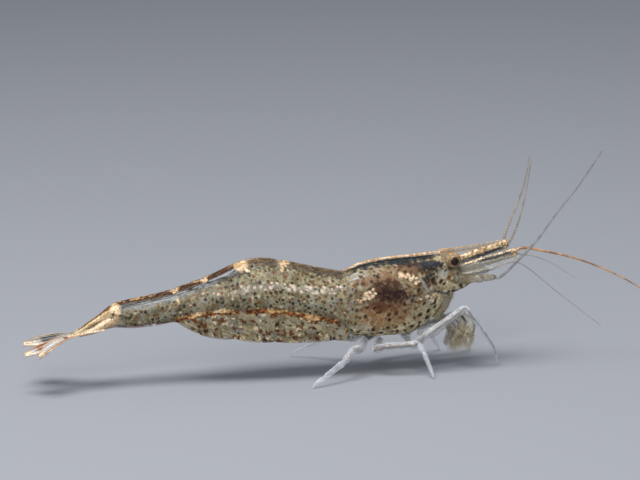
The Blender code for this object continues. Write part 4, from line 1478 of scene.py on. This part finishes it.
class SHRIMP_OT_mouth(bpy.types.Operator):
    """Make the third maxillipeds, the leg-like mouthparts under the head, and their paddles"""

    bl_idname = "shrimp.mouth"
    bl_label = "Mouthparts"

    def execute(self, context):
        rng, hairs = np.random.default_rng(SEED + 1), []
        olive = speckled_limb_finish(
            "mouth_olive", tone(172, 168, 146), tone(130, 126, 106), tone(176, 130, 76),
            tone(84, 50, 24), alpha=0.34, spacing=0.34, cream=0.7,
        )
        paddle = speckled_limb_finish(
            "mouth_paddle", tone(172, 164, 130), tone(120, 114, 82), tone(170, 130, 80),
            tone(60, 38, 22), alpha=0.78, spacing=0.46, cream=0.4,
        )
        hair = hair_finish("mouth_hair", tuple(settings("limb").hair), 0.45)
        for side_name, side in SIDES.items():
            path, radius = pinched(mirrored(MAXILLIPED, side), 90, (0.24, 0.22, 0.17, 0.07), pinch=0.2)
            add_limb(f"maxilliped_{side_name}_limb", path, radius, SIDEWAYS, 16, olive,
                     [f"maxilliped_{side_name}"])
            way = repeated((0.8, 0.2 * side, -0.35), path)
            hairs.append(tufts(rng, path[30:], way[30:], 170, 0.4, 0.009, jitter=0.4, spot=0.08))
            path = smooth_path(mirrored(MOUTH_PADDLE, side), 60)
            # The paddle's outline is the root of half a sine wave.
            width = 0.36 * np.sin(np.pi * np.linspace(0.06, 0.94, 60)) ** 0.5
            across = (0.75, 0.2 * side, -0.66)
            shape = leaf(path, width, 0.12, across, camber=0.3, columns=21)
            add_piece(f"mouth_paddle_{side_name}", shape, paddle)
            edge = path + width[:, None] * unit(np.array(across)) * 0.9
            way = repeated((0.7, 0.3 * side, -0.6), path)
            hairs.append(tufts(rng, edge, way, 120, 0.22, 0.008, jitter=0.25, spot=0.02))
        add_piece("mouth_bristles", merged(hairs), hair, map_name=HAIR_MAP)
        return {"FINISHED"}


# ---------------------------------------------------------------- legs

CLAWED_LEGS = {
    "leg_1_right": (
        (6.3, -0.6, 3.2), (7.0, -0.86, 3.1), (8.3, -0.88, 4.0), (8.8, -0.88, 3.3),
        (8.55, -0.88, 2.45)),
    "leg_2_right": (
        (5.5, -0.75, 2.7), (6.4, -1.5, 2.5), (8.55, -1.56, 4.15), (9.25, -1.54, 3.5),
        (9.1, -1.52, 2.55)),
    "leg_1_left": (
        (6.3, 0.6, 3.2), (7.0, 0.86, 3.05), (8.2, 0.9, 3.4), (8.65, 0.88, 2.8), (8.5, 0.88, 2.0)),
    "leg_2_left": (
        (5.5, 0.75, 2.7), (6.4, 1.5, 2.5), (8.5, 1.6, 3.4), (9.2, 1.6, 2.9), (9.15, 1.57, 2.05)),
}
WALKING_LEGS = {
    "leg_3_right": (
        (4.6, -0.85, 2.4), (5.0, -1.75, 1.9), (5.6, -2.25, 2.65), (8.7, -2.25, 4.65),
        (9.95, -1.95, 2.95), (10.9, -1.55, 1.45), (11.25, -1.2, 0.03)),
    "leg_4_right": (
        (2.7, -0.85, 2.4), (2.1, -1.8, 1.85), (2.7, -2.3, 2.15), (5.2, -2.6, 2.27),
        (5.5, -3.0, 1.65), (5.88, -3.95, 0.4), (5.95, -4.15, 0.03)),
    "leg_5_right": (
        (1.6, -0.85, 2.4), (1.05, -1.8, 1.85), (0.6, -2.4, 2.2), (-0.33, -3.1, 1.4),
        (-1.9, -4.1, 0.65), (-2.7, -4.5, 0.25), (-2.85, -4.55, 0.03)),
    "leg_3_left": (
        (4.6, 0.85, 2.4), (5.0, 1.75, 1.9), (5.7, 2.4, 2.35), (8.4, 2.75, 2.8), (9.35, 3.3, 1.5),
        (10.0, 3.65, 0.4), (10.2, 3.7, 0.03)),
    "leg_4_left": (
        (2.7, 0.85, 2.4), (2.1, 1.8, 1.85), (2.9, 2.5, 2.1), (6.2, 3.3, 2.5), (7.2, 3.8, 1.5),
        (7.9, 4.25, 0.35), (8.0, 4.3, 0.03)),
    "leg_5_left": (
        (1.6, 0.85, 2.4), (1.05, 1.8, 1.85), (0.5, 2.5, 2.2), (-0.6, 3.4, 1.7), (-2.0, 4.6, 0.7),
        (-2.8, 5.05, 0.25), (-2.95, 5.1, 0.03)),
}
LEG_RADII = (0.27, 0.27, 0.27, 0.24, 0.18, 0.13, 0.035)


def claw_finish():
    """Pale, granular claws with orange grains towards the tips and a dark band over the wrist."""
    graph = Finish("claw", 0.45, coat=0.1, Specular_IOR_Level=0.3)
    place, skin, share = graph.place(), graph.skin(), graph.field("share")
    speckled = graph.use(
        skin_effect(), Place=place, Skin=skin, Pale=tone(206, 200, 168), Deep=tone(164, 156, 126),
        Warm=tone(150, 112, 64), Warmth=0.5, Dot=tone(70, 46, 26), Spacing=0.4, Radius=0.1, Cream=0.4,
    )
    grains = spots(graph, skin, Spacing=0.38, Radius=0.13, Uneven=0.5, Share=0.55, Ragged=0.4, Seed=6.0)
    over = graph.field("over") + graph.uneven(place, 4.0, 3.0) * 0.6
    band = graph.step(over, 0.1, 0.5) * graph.span(share, 0.02, 0.12, 0.46, 0.62)
    colour = graph.layers(speckled["Color"], [
        (grains["Mask"] * graph.step(share, 0.6, 0.8), tone(232, 168, 96)),
        (band * 0.95, tone(30, 26, 24)),
    ])
    shown = graph.mix(band | graph.step(share, 0.3, 0.6), 0.3, 0.6)
    shown = shown * graph.mix(graph.step(share, 0.75, 1.0), 1.0, 0.5)
    return graph.cover(colour, shown, (speckled["Relief"], 0.5, 0.03))


def claw_shape(shoulder, wrist, end, girth):
    """A claw: a tapered palm round the wrist, and two fingers bowed apart from its end.

    Its fields are share, from 0 at the palm's root over 0.75 at its end to 1 at the fingers'
    tips, and over, which grows towards the palm's upper front side.
    """
    count, sides, finger_count, finger_sides = 80, 20, 26, 12
    down = unit(end - wrist)
    route = (shoulder + 0.2 * (wrist - shoulder), wrist, end, end + 0.3 * down)
    path, radius = pinched(route, count, (0.15, 0.3, 0.4, 0.22), pinch=0.1, passes=14)
    radius *= girth
    radius[-6:] *= np.linspace(0.97, 0.4, 6)
    parts = [tube(path, radius, 0.8 * radius, SIDEWAYS, sides)]
    around = parts[0].verts.reshape(count, sides, 3) - path[:, None]
    over = [((around / radius[:, None, None]) @ np.array((0.55, 0, 0.84))).ravel()]
    share = [np.repeat(np.linspace(0, 0.75, count), sides)]
    thick = 0.19 * girth * np.linspace(1, 0.2, finger_count) ** 0.7
    fingers = []
    for sign in (-1, 1):
        bow = np.array((0.2 * sign * girth, 0, 0))
        bends = ((0.7, -0.15), (1.3, 0.35), (0.5, 0.85))
        fingers.append(smooth_path([end + bow * out + down * on for out, on in bends], finger_count))
        parts.append(tube(fingers[-1], thick, thick, SIDEWAYS, finger_sides))
        share.append(np.repeat(np.linspace(0.75, 1, finger_count), finger_sides))
        over.append(np.zeros(finger_count * finger_sides))
    return merged(parts), {"share": np.concatenate(share), "over": np.concatenate(over)}, fingers


class SHRIMP_OT_clawed_legs(bpy.types.Operator):
    """Make the two front pairs of legs, whose small claws end in brushes"""

    bl_idname = "shrimp.clawed_legs"
    bl_label = "Clawed legs"

    def execute(self, context):
        rng = np.random.default_rng(SEED + 2)
        arm = clear_limb_finish("clawed_arm", tone(176, 176, 168), 0.24, tone(120, 84, 44), 0.1,
                                sheen=0.1, rim=0.5)
        claw = claw_finish()
        hair = hair_finish("claw_brush", tone(206, 196, 164), 0.12)
        for name, route in CLAWED_LEGS.items():
            shoulder, wrist, end = (np.array(point) for point in route[-3:])
            arm_end = shoulder + 0.35 * (wrist - shoulder)
            path, radius = pinched((*route[:-2], arm_end), 90, (0.19, 0.17, 0.16, 0.17), pinch=0.2)
            add_limb(f"{name}_arm", path, radius, SIDEWAYS, 16, arm, [name])
            girth = 1.0 if name.endswith("right") else 0.75
            shape, fields, fingers = claw_shape(shoulder, wrist, end, girth)
            add_piece(f"{name}_claw", shape, claw, fields=fields)
            down = unit(end - wrist)
            brush = [tufts(rng, finger[4:], repeated(down, finger[4:]), 300, 0.8, 0.009, jitter=0.28,
                           spot=0.09, droop=NO_DROOP) for finger in fingers]
            add_piece(f"{name}_brush", merged(brush), hair, map_name=HAIR_MAP)
        return {"FINISHED"}


class SHRIMP_OT_walking_legs(bpy.types.Operator):
    """Make the three rear pairs of legs: clear, jointed, with a coloured core"""

    bl_idname = "shrimp.walking_legs"
    bl_label = "Walking legs"

    def execute(self, context):
        rng, spines = np.random.default_rng(SEED + 3), []
        glass, cream = tuple(settings("limb").glass), tone(206, 190, 160)
        clear = {
            "right": clear_limb_finish("clear_leg", glass, 0.26, cream, 0.03, sheen=0.1, rim=0.9),
            "left": clear_limb_finish("clearer_leg", glass, 0.15, cream, 0.03, sheen=0.1, rim=0.5),
        }
        # Each pair's core: colour, opacity, freckles, their share and their spacing.
        cores = {
            "3": (tone(134, 120, 88), 0.62, tone(70, 48, 28), 0.7, 0.2),
            "4": (tone(104, 80, 34), 0.95, tone(104, 50, 12), 0.65, 0.26),
            "5": (tone(140, 132, 112), 0.35, tone(170, 112, 56), 0.4, 0.26),
        }
        cores = {number: clear_limb_finish(f"leg_core_{number}", *look, sheen=0.0)
                 for number, look in cores.items()}
        hair = hair_finish("leg_spines", tone(196, 196, 196), 0.7)
        tube_up = (0, 1, 0.2)
        for name, route in WALKING_LEGS.items():
            _, number, side_name = name.split("_")
            path, radius = pinched(route, 220, LEG_RADII, pinch=0.24, reach=0.16, passes=7)
            add_limb(f"{name}_limb", path, radius, tube_up, 20, clear[side_name], [name])
            corners, along = lengths_along(np.array(route)), lengths_along(path)
            share = along / along[-1]
            # The core ends at the knee, or, on the third pair, runs on thinner nearly to the foot.
            knee = corners[3] / corners[-1]
            core_end, thinnest = (0.93, 0.45) if number == "3" else (knee - 0.012, 0.15)
            inside, late = share < core_end, share > knee + 0.05
            thick = radius[inside] * 0.62 * np.clip((knee - share[inside]) * 30, thinnest, 1)
            add_limb(f"{name}_core", path[inside], thick, tube_up, 14, cores[number])
            inward = repeated((-0.5, 0.1, -0.35), path[late]) + unit(np.gradient(path[late], axis=0))
            spines.append(tufts(rng, path[late], inward, 26, 0.26, 0.012, jitter=0.12, spot=0.02,
                                droop=NO_DROOP))
        add_piece("leg_spines", merged(spines), hair, map_name=HAIR_MAP)
        return {"FINISHED"}


# The swimming legs' roots along X, and how far forward each reaches.
SWIMMING_LEGS = ((-1.0, 1.0), (-3.2, 1.7), (-5.7, 1.9), (-8.2, 1.7), (-10.4, 1.4))


class SHRIMP_OT_swimming_legs(bpy.types.Operator):
    """Make the five pairs of two-branched paddles under the abdomen"""

    bl_idname = "shrimp.swimming_legs"
    bl_label = "Swimming legs"

    def execute(self, context):
        rng, hairs = np.random.default_rng(SEED + 4), []
        finish = clear_limb_finish("swimming_leg", tone(164, 160, 140), 0.62, tone(132, 92, 52), 0.5)
        hair = hair_finish("paddle_fringe", tone(176, 170, 148), 0.45)
        # A paddle's outline is half a sine wave, filled out by a power of 0.7.
        width = 0.34 * np.sin(np.pi * np.linspace(0.14, 0.97, 40)) ** 0.7
        for number, (x, reach) in enumerate(SWIMMING_LEGS, 1):
            room = half_width(x) * edge_share(x)
            top, bottom = flesh_bottom(x) + 0.2, lower_edge(x + reach) + 0.3
            bend = 0.4 * top + 0.6 * bottom
            for side_name, side in SIDES.items():
                paddles = []
                for lag, out in ((0.0, 0.42), (0.3, 0.72)):
                    y = side * room * out
                    route = ((x, side * room * 0.5, top), (x + 0.4 * reach - lag, y, bend),
                             (x + reach - lag, y, bottom))
                    path = smooth_path(route, 40)
                    across = (0.7, 0.25 * side, 0.7)
                    paddles.append(leaf(path, width, 0.07, across, camber=0.15, columns=11))
                    way = repeated((0.5, 0, -0.8), path[16:])
                    hairs.append(tufts(rng, path[16:], way, 60, 0.4, 0.008, jitter=0.3, spot=0.1))
                name = f"swimming_leg_{number}_{side_name}"
                add_piece(f"{name}_paddles", merged(paddles), finish, [name])
        add_piece("paddle_fringe", merged(hairs), hair, map_name=HAIR_MAP)
        return {"FINISHED"}


# ---------------------------------------------------------------- tail fan

TELSON = ((-15.9, 0, 5.5), (-16.4, 0, 5.4), (-17.1, 0, 5.08), (-18.1, 0, 4.58), (-19.2, 0, 3.94),
          (-20.9, 0, 3.5))
UROPOD_BASE = ((-16.25, 0.36, 4.8), (-16.9, 0.5, 4.66), (-17.9, 0.72, 4.28), (-18.9, 0.86, 4.0))
FAN_BLADES = {
    ("inner", "right"): (
        (-17.1, -0.5, 4.3), (-18.4, -0.6, 4.13), (-19.7, -0.7, 3.98), (-20.75, -0.8, 3.68),
        (-21.8, -0.95, 3.26), (-22.84, -1.1, 2.92)),
    ("outer", "right"): (
        (-17.1, -0.95, 4.34), (-18.4, -1.05, 4.22), (-19.8, -1.3, 4.02), (-20.6, -1.6, 3.8),
        (-21.25, -1.9, 3.48), (-21.9, -2.2, 3.0)),
    ("inner", "left"): (
        (-17.1, 0.5, 4.26), (-18.4, 0.6, 3.98), (-19.3, 0.7, 3.76), (-20.6, 0.9, 3.54),
        (-21.6, 1.0, 3.36), (-22.7, 1.1, 3.2)),
    ("outer", "left"): (
        (-17.1, 0.95, 4.3), (-18.4, 1.05, 3.95), (-19.3, 1.2, 3.66), (-20.4, 1.6, 3.46),
        (-21.3, 2.0, 3.24), (-22.2, 2.3, 3.02)),
}
FAN_WIDTHS = {"inner": (0.12, 0.14, 0.2, 0.36, 0.46, 0.22), "outer": (0.12, 0.15, 0.22, 0.42, 0.52, 0.24)}
FAN_ROLL = math.radians(20)
FAN_TILT = np.array((0, math.cos(FAN_ROLL), math.sin(FAN_ROLL)))
CREAM, BROWN, CLEAR = tone(222, 202, 162), tone(112, 66, 30), tone(176, 184, 194)
RUST, DEEP_RUST, INKY = tone(140, 86, 38), tone(124, 68, 24), tone(34, 40, 48)
# Each blade's stripe, its place across the blade from -1 to 1, its patch, and the patch's
# middle and reach along the blade from 0 to 1.
FAN_LOOKS = {
    ("inner", "right"): (RUST, 0.55, DEEP_RUST, (0.76, 0.14)),
    ("outer", "right"): (RUST, -0.75, BROWN, (0.42, 0.05)),
    ("inner", "left"): (INKY, 0.35, INKY, (0.66, 0.22)),
    ("outer", "left"): (INKY, 0.4, INKY, (0.6, 0.2)),
}


def fan_finish(name, stripe, stripe_place, patch, patch_span):
    """A blade of the tail fan: clear in the middle, cream and gold round its edge, with a
    coloured stripe along it and one darker patch."""
    graph = Finish(name, 0.35, coat=0.2, Specular_IOR_Level=0.3)
    along, across, _ = graph.split(graph.skin())
    place = graph.place()
    ragged = graph.uneven(place, 3.5, 3.0) * 0.5
    flecked = graph.grain(place, 7.0, 0.36, 0.6, 2.0)
    edge = graph.step(abs(across) + ragged, 0.5, 0.9)
    tip = graph.step(along + ragged * 0.25, 0.8, 0.98)
    root = graph.step(along + ragged * 0.3, 0.5, 0.3)
    cloudy = graph.grain(place, 2.2, 0.42, 0.6, 4.0, 0.6) * 0.7
    pale = (edge | tip | root | cloudy) * 0.85
    line = graph.near(across + ragged * 0.6, stripe_place, 0.34) * graph.span(along, 0.12, 0.3, 0.9, 0.97)
    dark = graph.near(along + ragged * 0.2, *patch_span) * graph.step(abs(across), 0.9, 0.5)
    dark = graph.step(dark, 0.0, 0.75)
    colour = graph.layers(CLEAR, [
        (pale, graph.blend(flecked, tone(176, 134, 88), CREAM)), (line * 0.9, stripe), (dark, patch),
    ])
    shown = pale | line * 0.95 | dark
    return graph.cover(colour, graph.mix(shown, 0.5, 0.95), (graph.noise(place, 9.0), 0.35, 0.03))


def telson_finish():
    """Mottled cream with a brown outline along the top and a brown patch near the root."""
    graph = Finish("telson", 0.3, coat=0.4, Specular_IOR_Level=0.3)
    place = graph.place()
    share, top = graph.field("share"), graph.field("top")
    ragged = graph.uneven(place, 4.0, 3.0)
    pale = graph.grain(place, 3.6, 0.42, 0.56, 5.0, 0.7) | graph.step(share, 0.34, 0.14) * 0.6
    olive = graph.near(top + ragged, -0.35, 0.3) * graph.step(share, 0.15, 0.3)
    height = top + ragged * 0.5
    line = graph.step(height, 0.78, 0.92) * graph.span(share, 0.14, 0.22, 0.7, 0.8)
    patch = graph.near(share + ragged * 0.08, 0.2, 0.07) * graph.near(top + ragged, -0.1, 0.6)
    colour = graph.layers(graph.blend(pale, tone(176, 146, 100), CREAM), [
        (olive * 0.35, tone(176, 158, 116)), (line | graph.step(patch, 0.2, 0.5), BROWN),
    ])
    clear = graph.near(height, 0.35, 0.4) * graph.step(share, 0.1, 0.3)
    return graph.cover(colour, graph.mix(clear, 0.93, 0.55), (ragged, 0.4, 0.04))


def telson_shape():
    """A flattened tube, and its fields: share along it, and top, from 1 above to -1 below."""
    count, sides = 110, 36
    share = np.linspace(0, 1, count)
    width = np.interp(share, (0, 0.08, 0.24, 0.5, 0.85, 0.96, 1),
                      (0.5, 0.72, 0.68, 0.46, 0.3, 0.22, 0.06))
    depth = np.interp(share, (0, 0.08, 0.28, 0.52, 0.76, 1), (0.4, 0.56, 0.42, 0.2, 0.12, 0.05))
    turn = np.linspace(0, 2 * math.pi, sides + 1)[:-1]
    top = np.broadcast_to(np.sin(turn), (count, sides))
    shape = tube(smooth_path(TELSON, count), width, depth, UP, sides)
    return shape, {**share_field(count, sides), "top": top}


class SHRIMP_OT_tail_fan(bpy.types.Operator):
    """Make the telson, the two pairs of fan blades and their fringes"""

    bl_idname = "shrimp.tail_fan"
    bl_label = "Tail fan"

    def execute(self, context):
        rng, fringes = np.random.default_rng(SEED + 5), []
        telson = telson_finish()
        blades = {key: fan_finish("fan_" + "_".join(key), *look) for key, look in FAN_LOOKS.items()}
        shape, fields = telson_shape()
        add_piece("telson_blade", shape, telson, ["telson"], fields)
        base = speckled_limb_finish(
            "uropod_base", tone(224, 204, 166), tone(178, 148, 108), tone(190, 128, 70),
            tone(124, 68, 30), alpha=0.95, spacing=0.3, cream=0.9,
        )
        radius = np.interp(np.linspace(0, 1, 30), (0, 0.2, 0.6, 1), (0.34, 0.42, 0.26, 0.1))
        for side_name, side in SIDES.items():
            add_limb(f"uropod_base_{side_name}_segment", smooth_path(mirrored(UROPOD_BASE, side), 30),
                     radius, UP, 20, base, [f"uropod_base_{side_name}"])
            for kind, widths in FAN_WIDTHS.items():
                path, width = smooth_path(FAN_BLADES[kind, side_name], 100), spread(widths, 100)
                shape = leaf(path, width, 0.09, FAN_TILT, camber=0.12, rib=0.05, columns=21)
                name = f"uropod_{kind}_{side_name}"
                add_piece(f"{name}_blade", shape, blades[kind, side_name], [name])
                on = unit(np.gradient(path, axis=0))
                for sign in (-1, 1):
                    edge = path + FAN_TILT * width[:, None] * sign * 0.97
                    way = on + FAN_TILT * sign * 0.45
                    fringes.append(tufts(rng, edge[45:], way[45:], 110, 0.34, 0.009, jitter=0.05,
                                         spot=0.01, droop=NO_DROOP))
        hair = hair_finish("fan_fringe", tone(214, 190, 152), 0.5)
        add_piece("fan_fringe", merged(fringes), hair, map_name=HAIR_MAP)
        return {"FINISHED"}


# ---------------------------------------------------------------- stage

LOOK_AT = (-1.340, 0.0, 9.7225)
CAMERA_TURN, CAMERA_RISE, CAMERA_ROLL = (math.radians(angle) for angle in (-9, 12, 1.5))
CAMERA_AWAY, FILM_MM = 254.0, 36
# Everything from here on is in metres: where the camera sees, the lamps, and the bowl.
NEAREST, FURTHEST = 0.01, 5
LAMPS_AIM = Vector((0, 0, 0.006))
KEY_AT, KEY_SIZE, KEY_COLOUR = (-0.06, -0.04, 0.25), 0.16, (1.0, 0.97, 0.93)
FILL_AT, FILL_SIZE = (-0.1, -0.26, 0.16), 0.2
SKY_COLOUR = (0.80, 0.86, 0.95)
HOLE_RADIUS, BOWL_WIDTH, WALL_HEIGHT, WALL_FOOT, WALL_TOP = 0.004, 0.95, 0.55, 0.5, 0.96


class SHRIMP_OT_stage(bpy.types.Operator):
    """Make the pale floor, the light and the camera"""

    bl_idname = "shrimp.stage"
    bl_label = "Stage"

    def execute(self, context):
        scene, stage = context.scene, settings("stage")
        scene.view_settings.view_transform = "Standard"
        scene.cycles.transparent_max_bounces = 32
        self.make_floor(stage)
        self.make_lamp("key", KEY_AT, KEY_SIZE, stage.key).color = KEY_COLOUR
        self.make_lamp("fill", FILL_AT, FILL_SIZE, stage.fill)
        self.make_sky(scene, stage)
        self.make_camera(scene, stage)
        return {"FINISHED"}

    def make_floor(self, stage):
        """A round bowl: flat under the animal, curving up to an open-topped wall behind. Its
        height grows as a smooth step of the radius, raised to a power of 1.6."""
        rings, columns = 70, 96
        share = np.linspace(0, 1, rings)[:, None]
        radius = HOLE_RADIUS + BOWL_WIDTH * share**1.6
        height = WALL_HEIGHT * ease(radius, WALL_FOOT, WALL_TOP) ** 1.6
        turn = np.linspace(0, 2 * math.pi, columns + 1)[None, :-1]
        points = np.broadcast_arrays(radius * np.cos(turn), radius * np.sin(turn), height)
        uv = np.broadcast_arrays(share, np.linspace(0, 1, columns + 1)[None])
        shape = ring_surface(np.stack(points, axis=2), np.stack(uv, axis=2))
        sizes = shape.sizes[:-1]  # without the lid
        finish = Finish("floor", 0.75).cover(tuple(stage.floor))
        mesh = new_mesh("floor", shape.verts, shape.corners[: int(sizes.sum())], sizes, finish)
        mesh.flip_normals()
        floor = new_object("floor", mesh)

    def make_lamp(self, name, place, size, energy):
        """A round lamp of this many watts that shines on the animal."""
        lamp = bpy.data.lights.new(name, "AREA")
        lamp.shape, lamp.size, lamp.energy = "DISK", size, energy
        lit = new_object(name, lamp)
        lit.location = place
        lit.rotation_euler = (LAMPS_AIM - lit.location).to_track_quat("-Z", "Y").to_euler()
        return lamp

    def make_sky(self, scene, stage):
        """A pale blue light from everywhere."""
        world = bpy.data.worlds.new("studio")
        world.use_nodes = True
        sky = world.node_tree.nodes["Background"]
        sky.inputs["Color"].default_value = (*SKY_COLOUR, 1)
        sky.inputs["Strength"].default_value = stage.ambient
        scene.world = world

    def make_camera(self, scene, stage):
        """A camera turned round the upright, raised, and rolled about its own line of sight."""
        lens = bpy.data.cameras.new("camera")
        lens.lens, lens.sensor_width = stage.lens, FILM_MM
        lens.clip_start, lens.clip_end = NEAREST, FURTHEST
        camera = new_object("camera", lens)
        turn, rise, roll = CAMERA_TURN, CAMERA_RISE, CAMERA_ROLL
        right = np.array((math.cos(turn), math.sin(turn), 0))
        behind = np.array((math.sin(turn) * math.cos(rise), -math.cos(turn) * math.cos(rise),
                           math.sin(rise)))
        up = np.cross(behind, right)
        rolled_right = math.cos(roll) * right - math.sin(roll) * up
        rolled_up = math.sin(roll) * right + math.cos(roll) * up
        place = (np.array(LOOK_AT) + SHIFT + behind * CAMERA_AWAY) * MM
        matrix = np.eye(4)
        matrix[:3] = np.stack((rolled_right, rolled_up, behind, place), axis=1)
        camera.matrix_world = Matrix(matrix)
        scene.camera = camera


# ---------------------------------------------------------------- add-on

OPERATORS = (
    SHRIMP_OT_flesh, SHRIMP_OT_shell, SHRIMP_OT_rostrum, SHRIMP_OT_eyes, SHRIMP_OT_antennules,
    SHRIMP_OT_feelers, SHRIMP_OT_antennae, SHRIMP_OT_mouth, SHRIMP_OT_clawed_legs,
    SHRIMP_OT_walking_legs, SHRIMP_OT_swimming_legs, SHRIMP_OT_tail_fan, SHRIMP_OT_stage,
)
GROUPS = {"pigment": PigmentSettings, "shell": ShellSettings, "limb": LimbSettings,
          "stage": StageSettings}


class SHRIMP_PT_sidebar(bpy.types.Panel):
    """Lists the shrimp's settings and the operators that build it"""

    bl_idname = "SHRIMP_PT_sidebar"
    bl_label = "Shrimp"
    bl_space_type = "VIEW_3D"
    bl_region_type = "UI"
    bl_category = "Shrimp"

    def draw(self, context):
        for name, group in GROUPS.items():
            box = self.layout.box()
            box.label(text=name.capitalize())
            for key in group.__annotations__:
                box.prop(settings(name), key)
        for maker in OPERATORS:
            self.layout.operator(maker.bl_idname)


CLASSES = (*GROUPS.values(), *OPERATORS, SHRIMP_PT_sidebar)


def register():
    """Adds the settings, the operators and the sidebar panel."""
    for cls in CLASSES:
        bpy.utils.register_class(cls)
    for name, group in GROUPS.items():
        setattr(bpy.types.Scene, "shrimp_" + name, bpy.props.PointerProperty(type=group))


def unregister():
    """Takes them away again."""
    for name in GROUPS:
        delattr(bpy.types.Scene, "shrimp_" + name)
    for cls in reversed(CLASSES):
        bpy.utils.unregister_class(cls)


def main():
    """Runs the operators in order."""
    register()
    for maker in OPERATORS:
        group, name = maker.bl_idname.split(".")
        getattr(getattr(bpy.ops, group), name)()


if __name__ == "__main__":
    main()
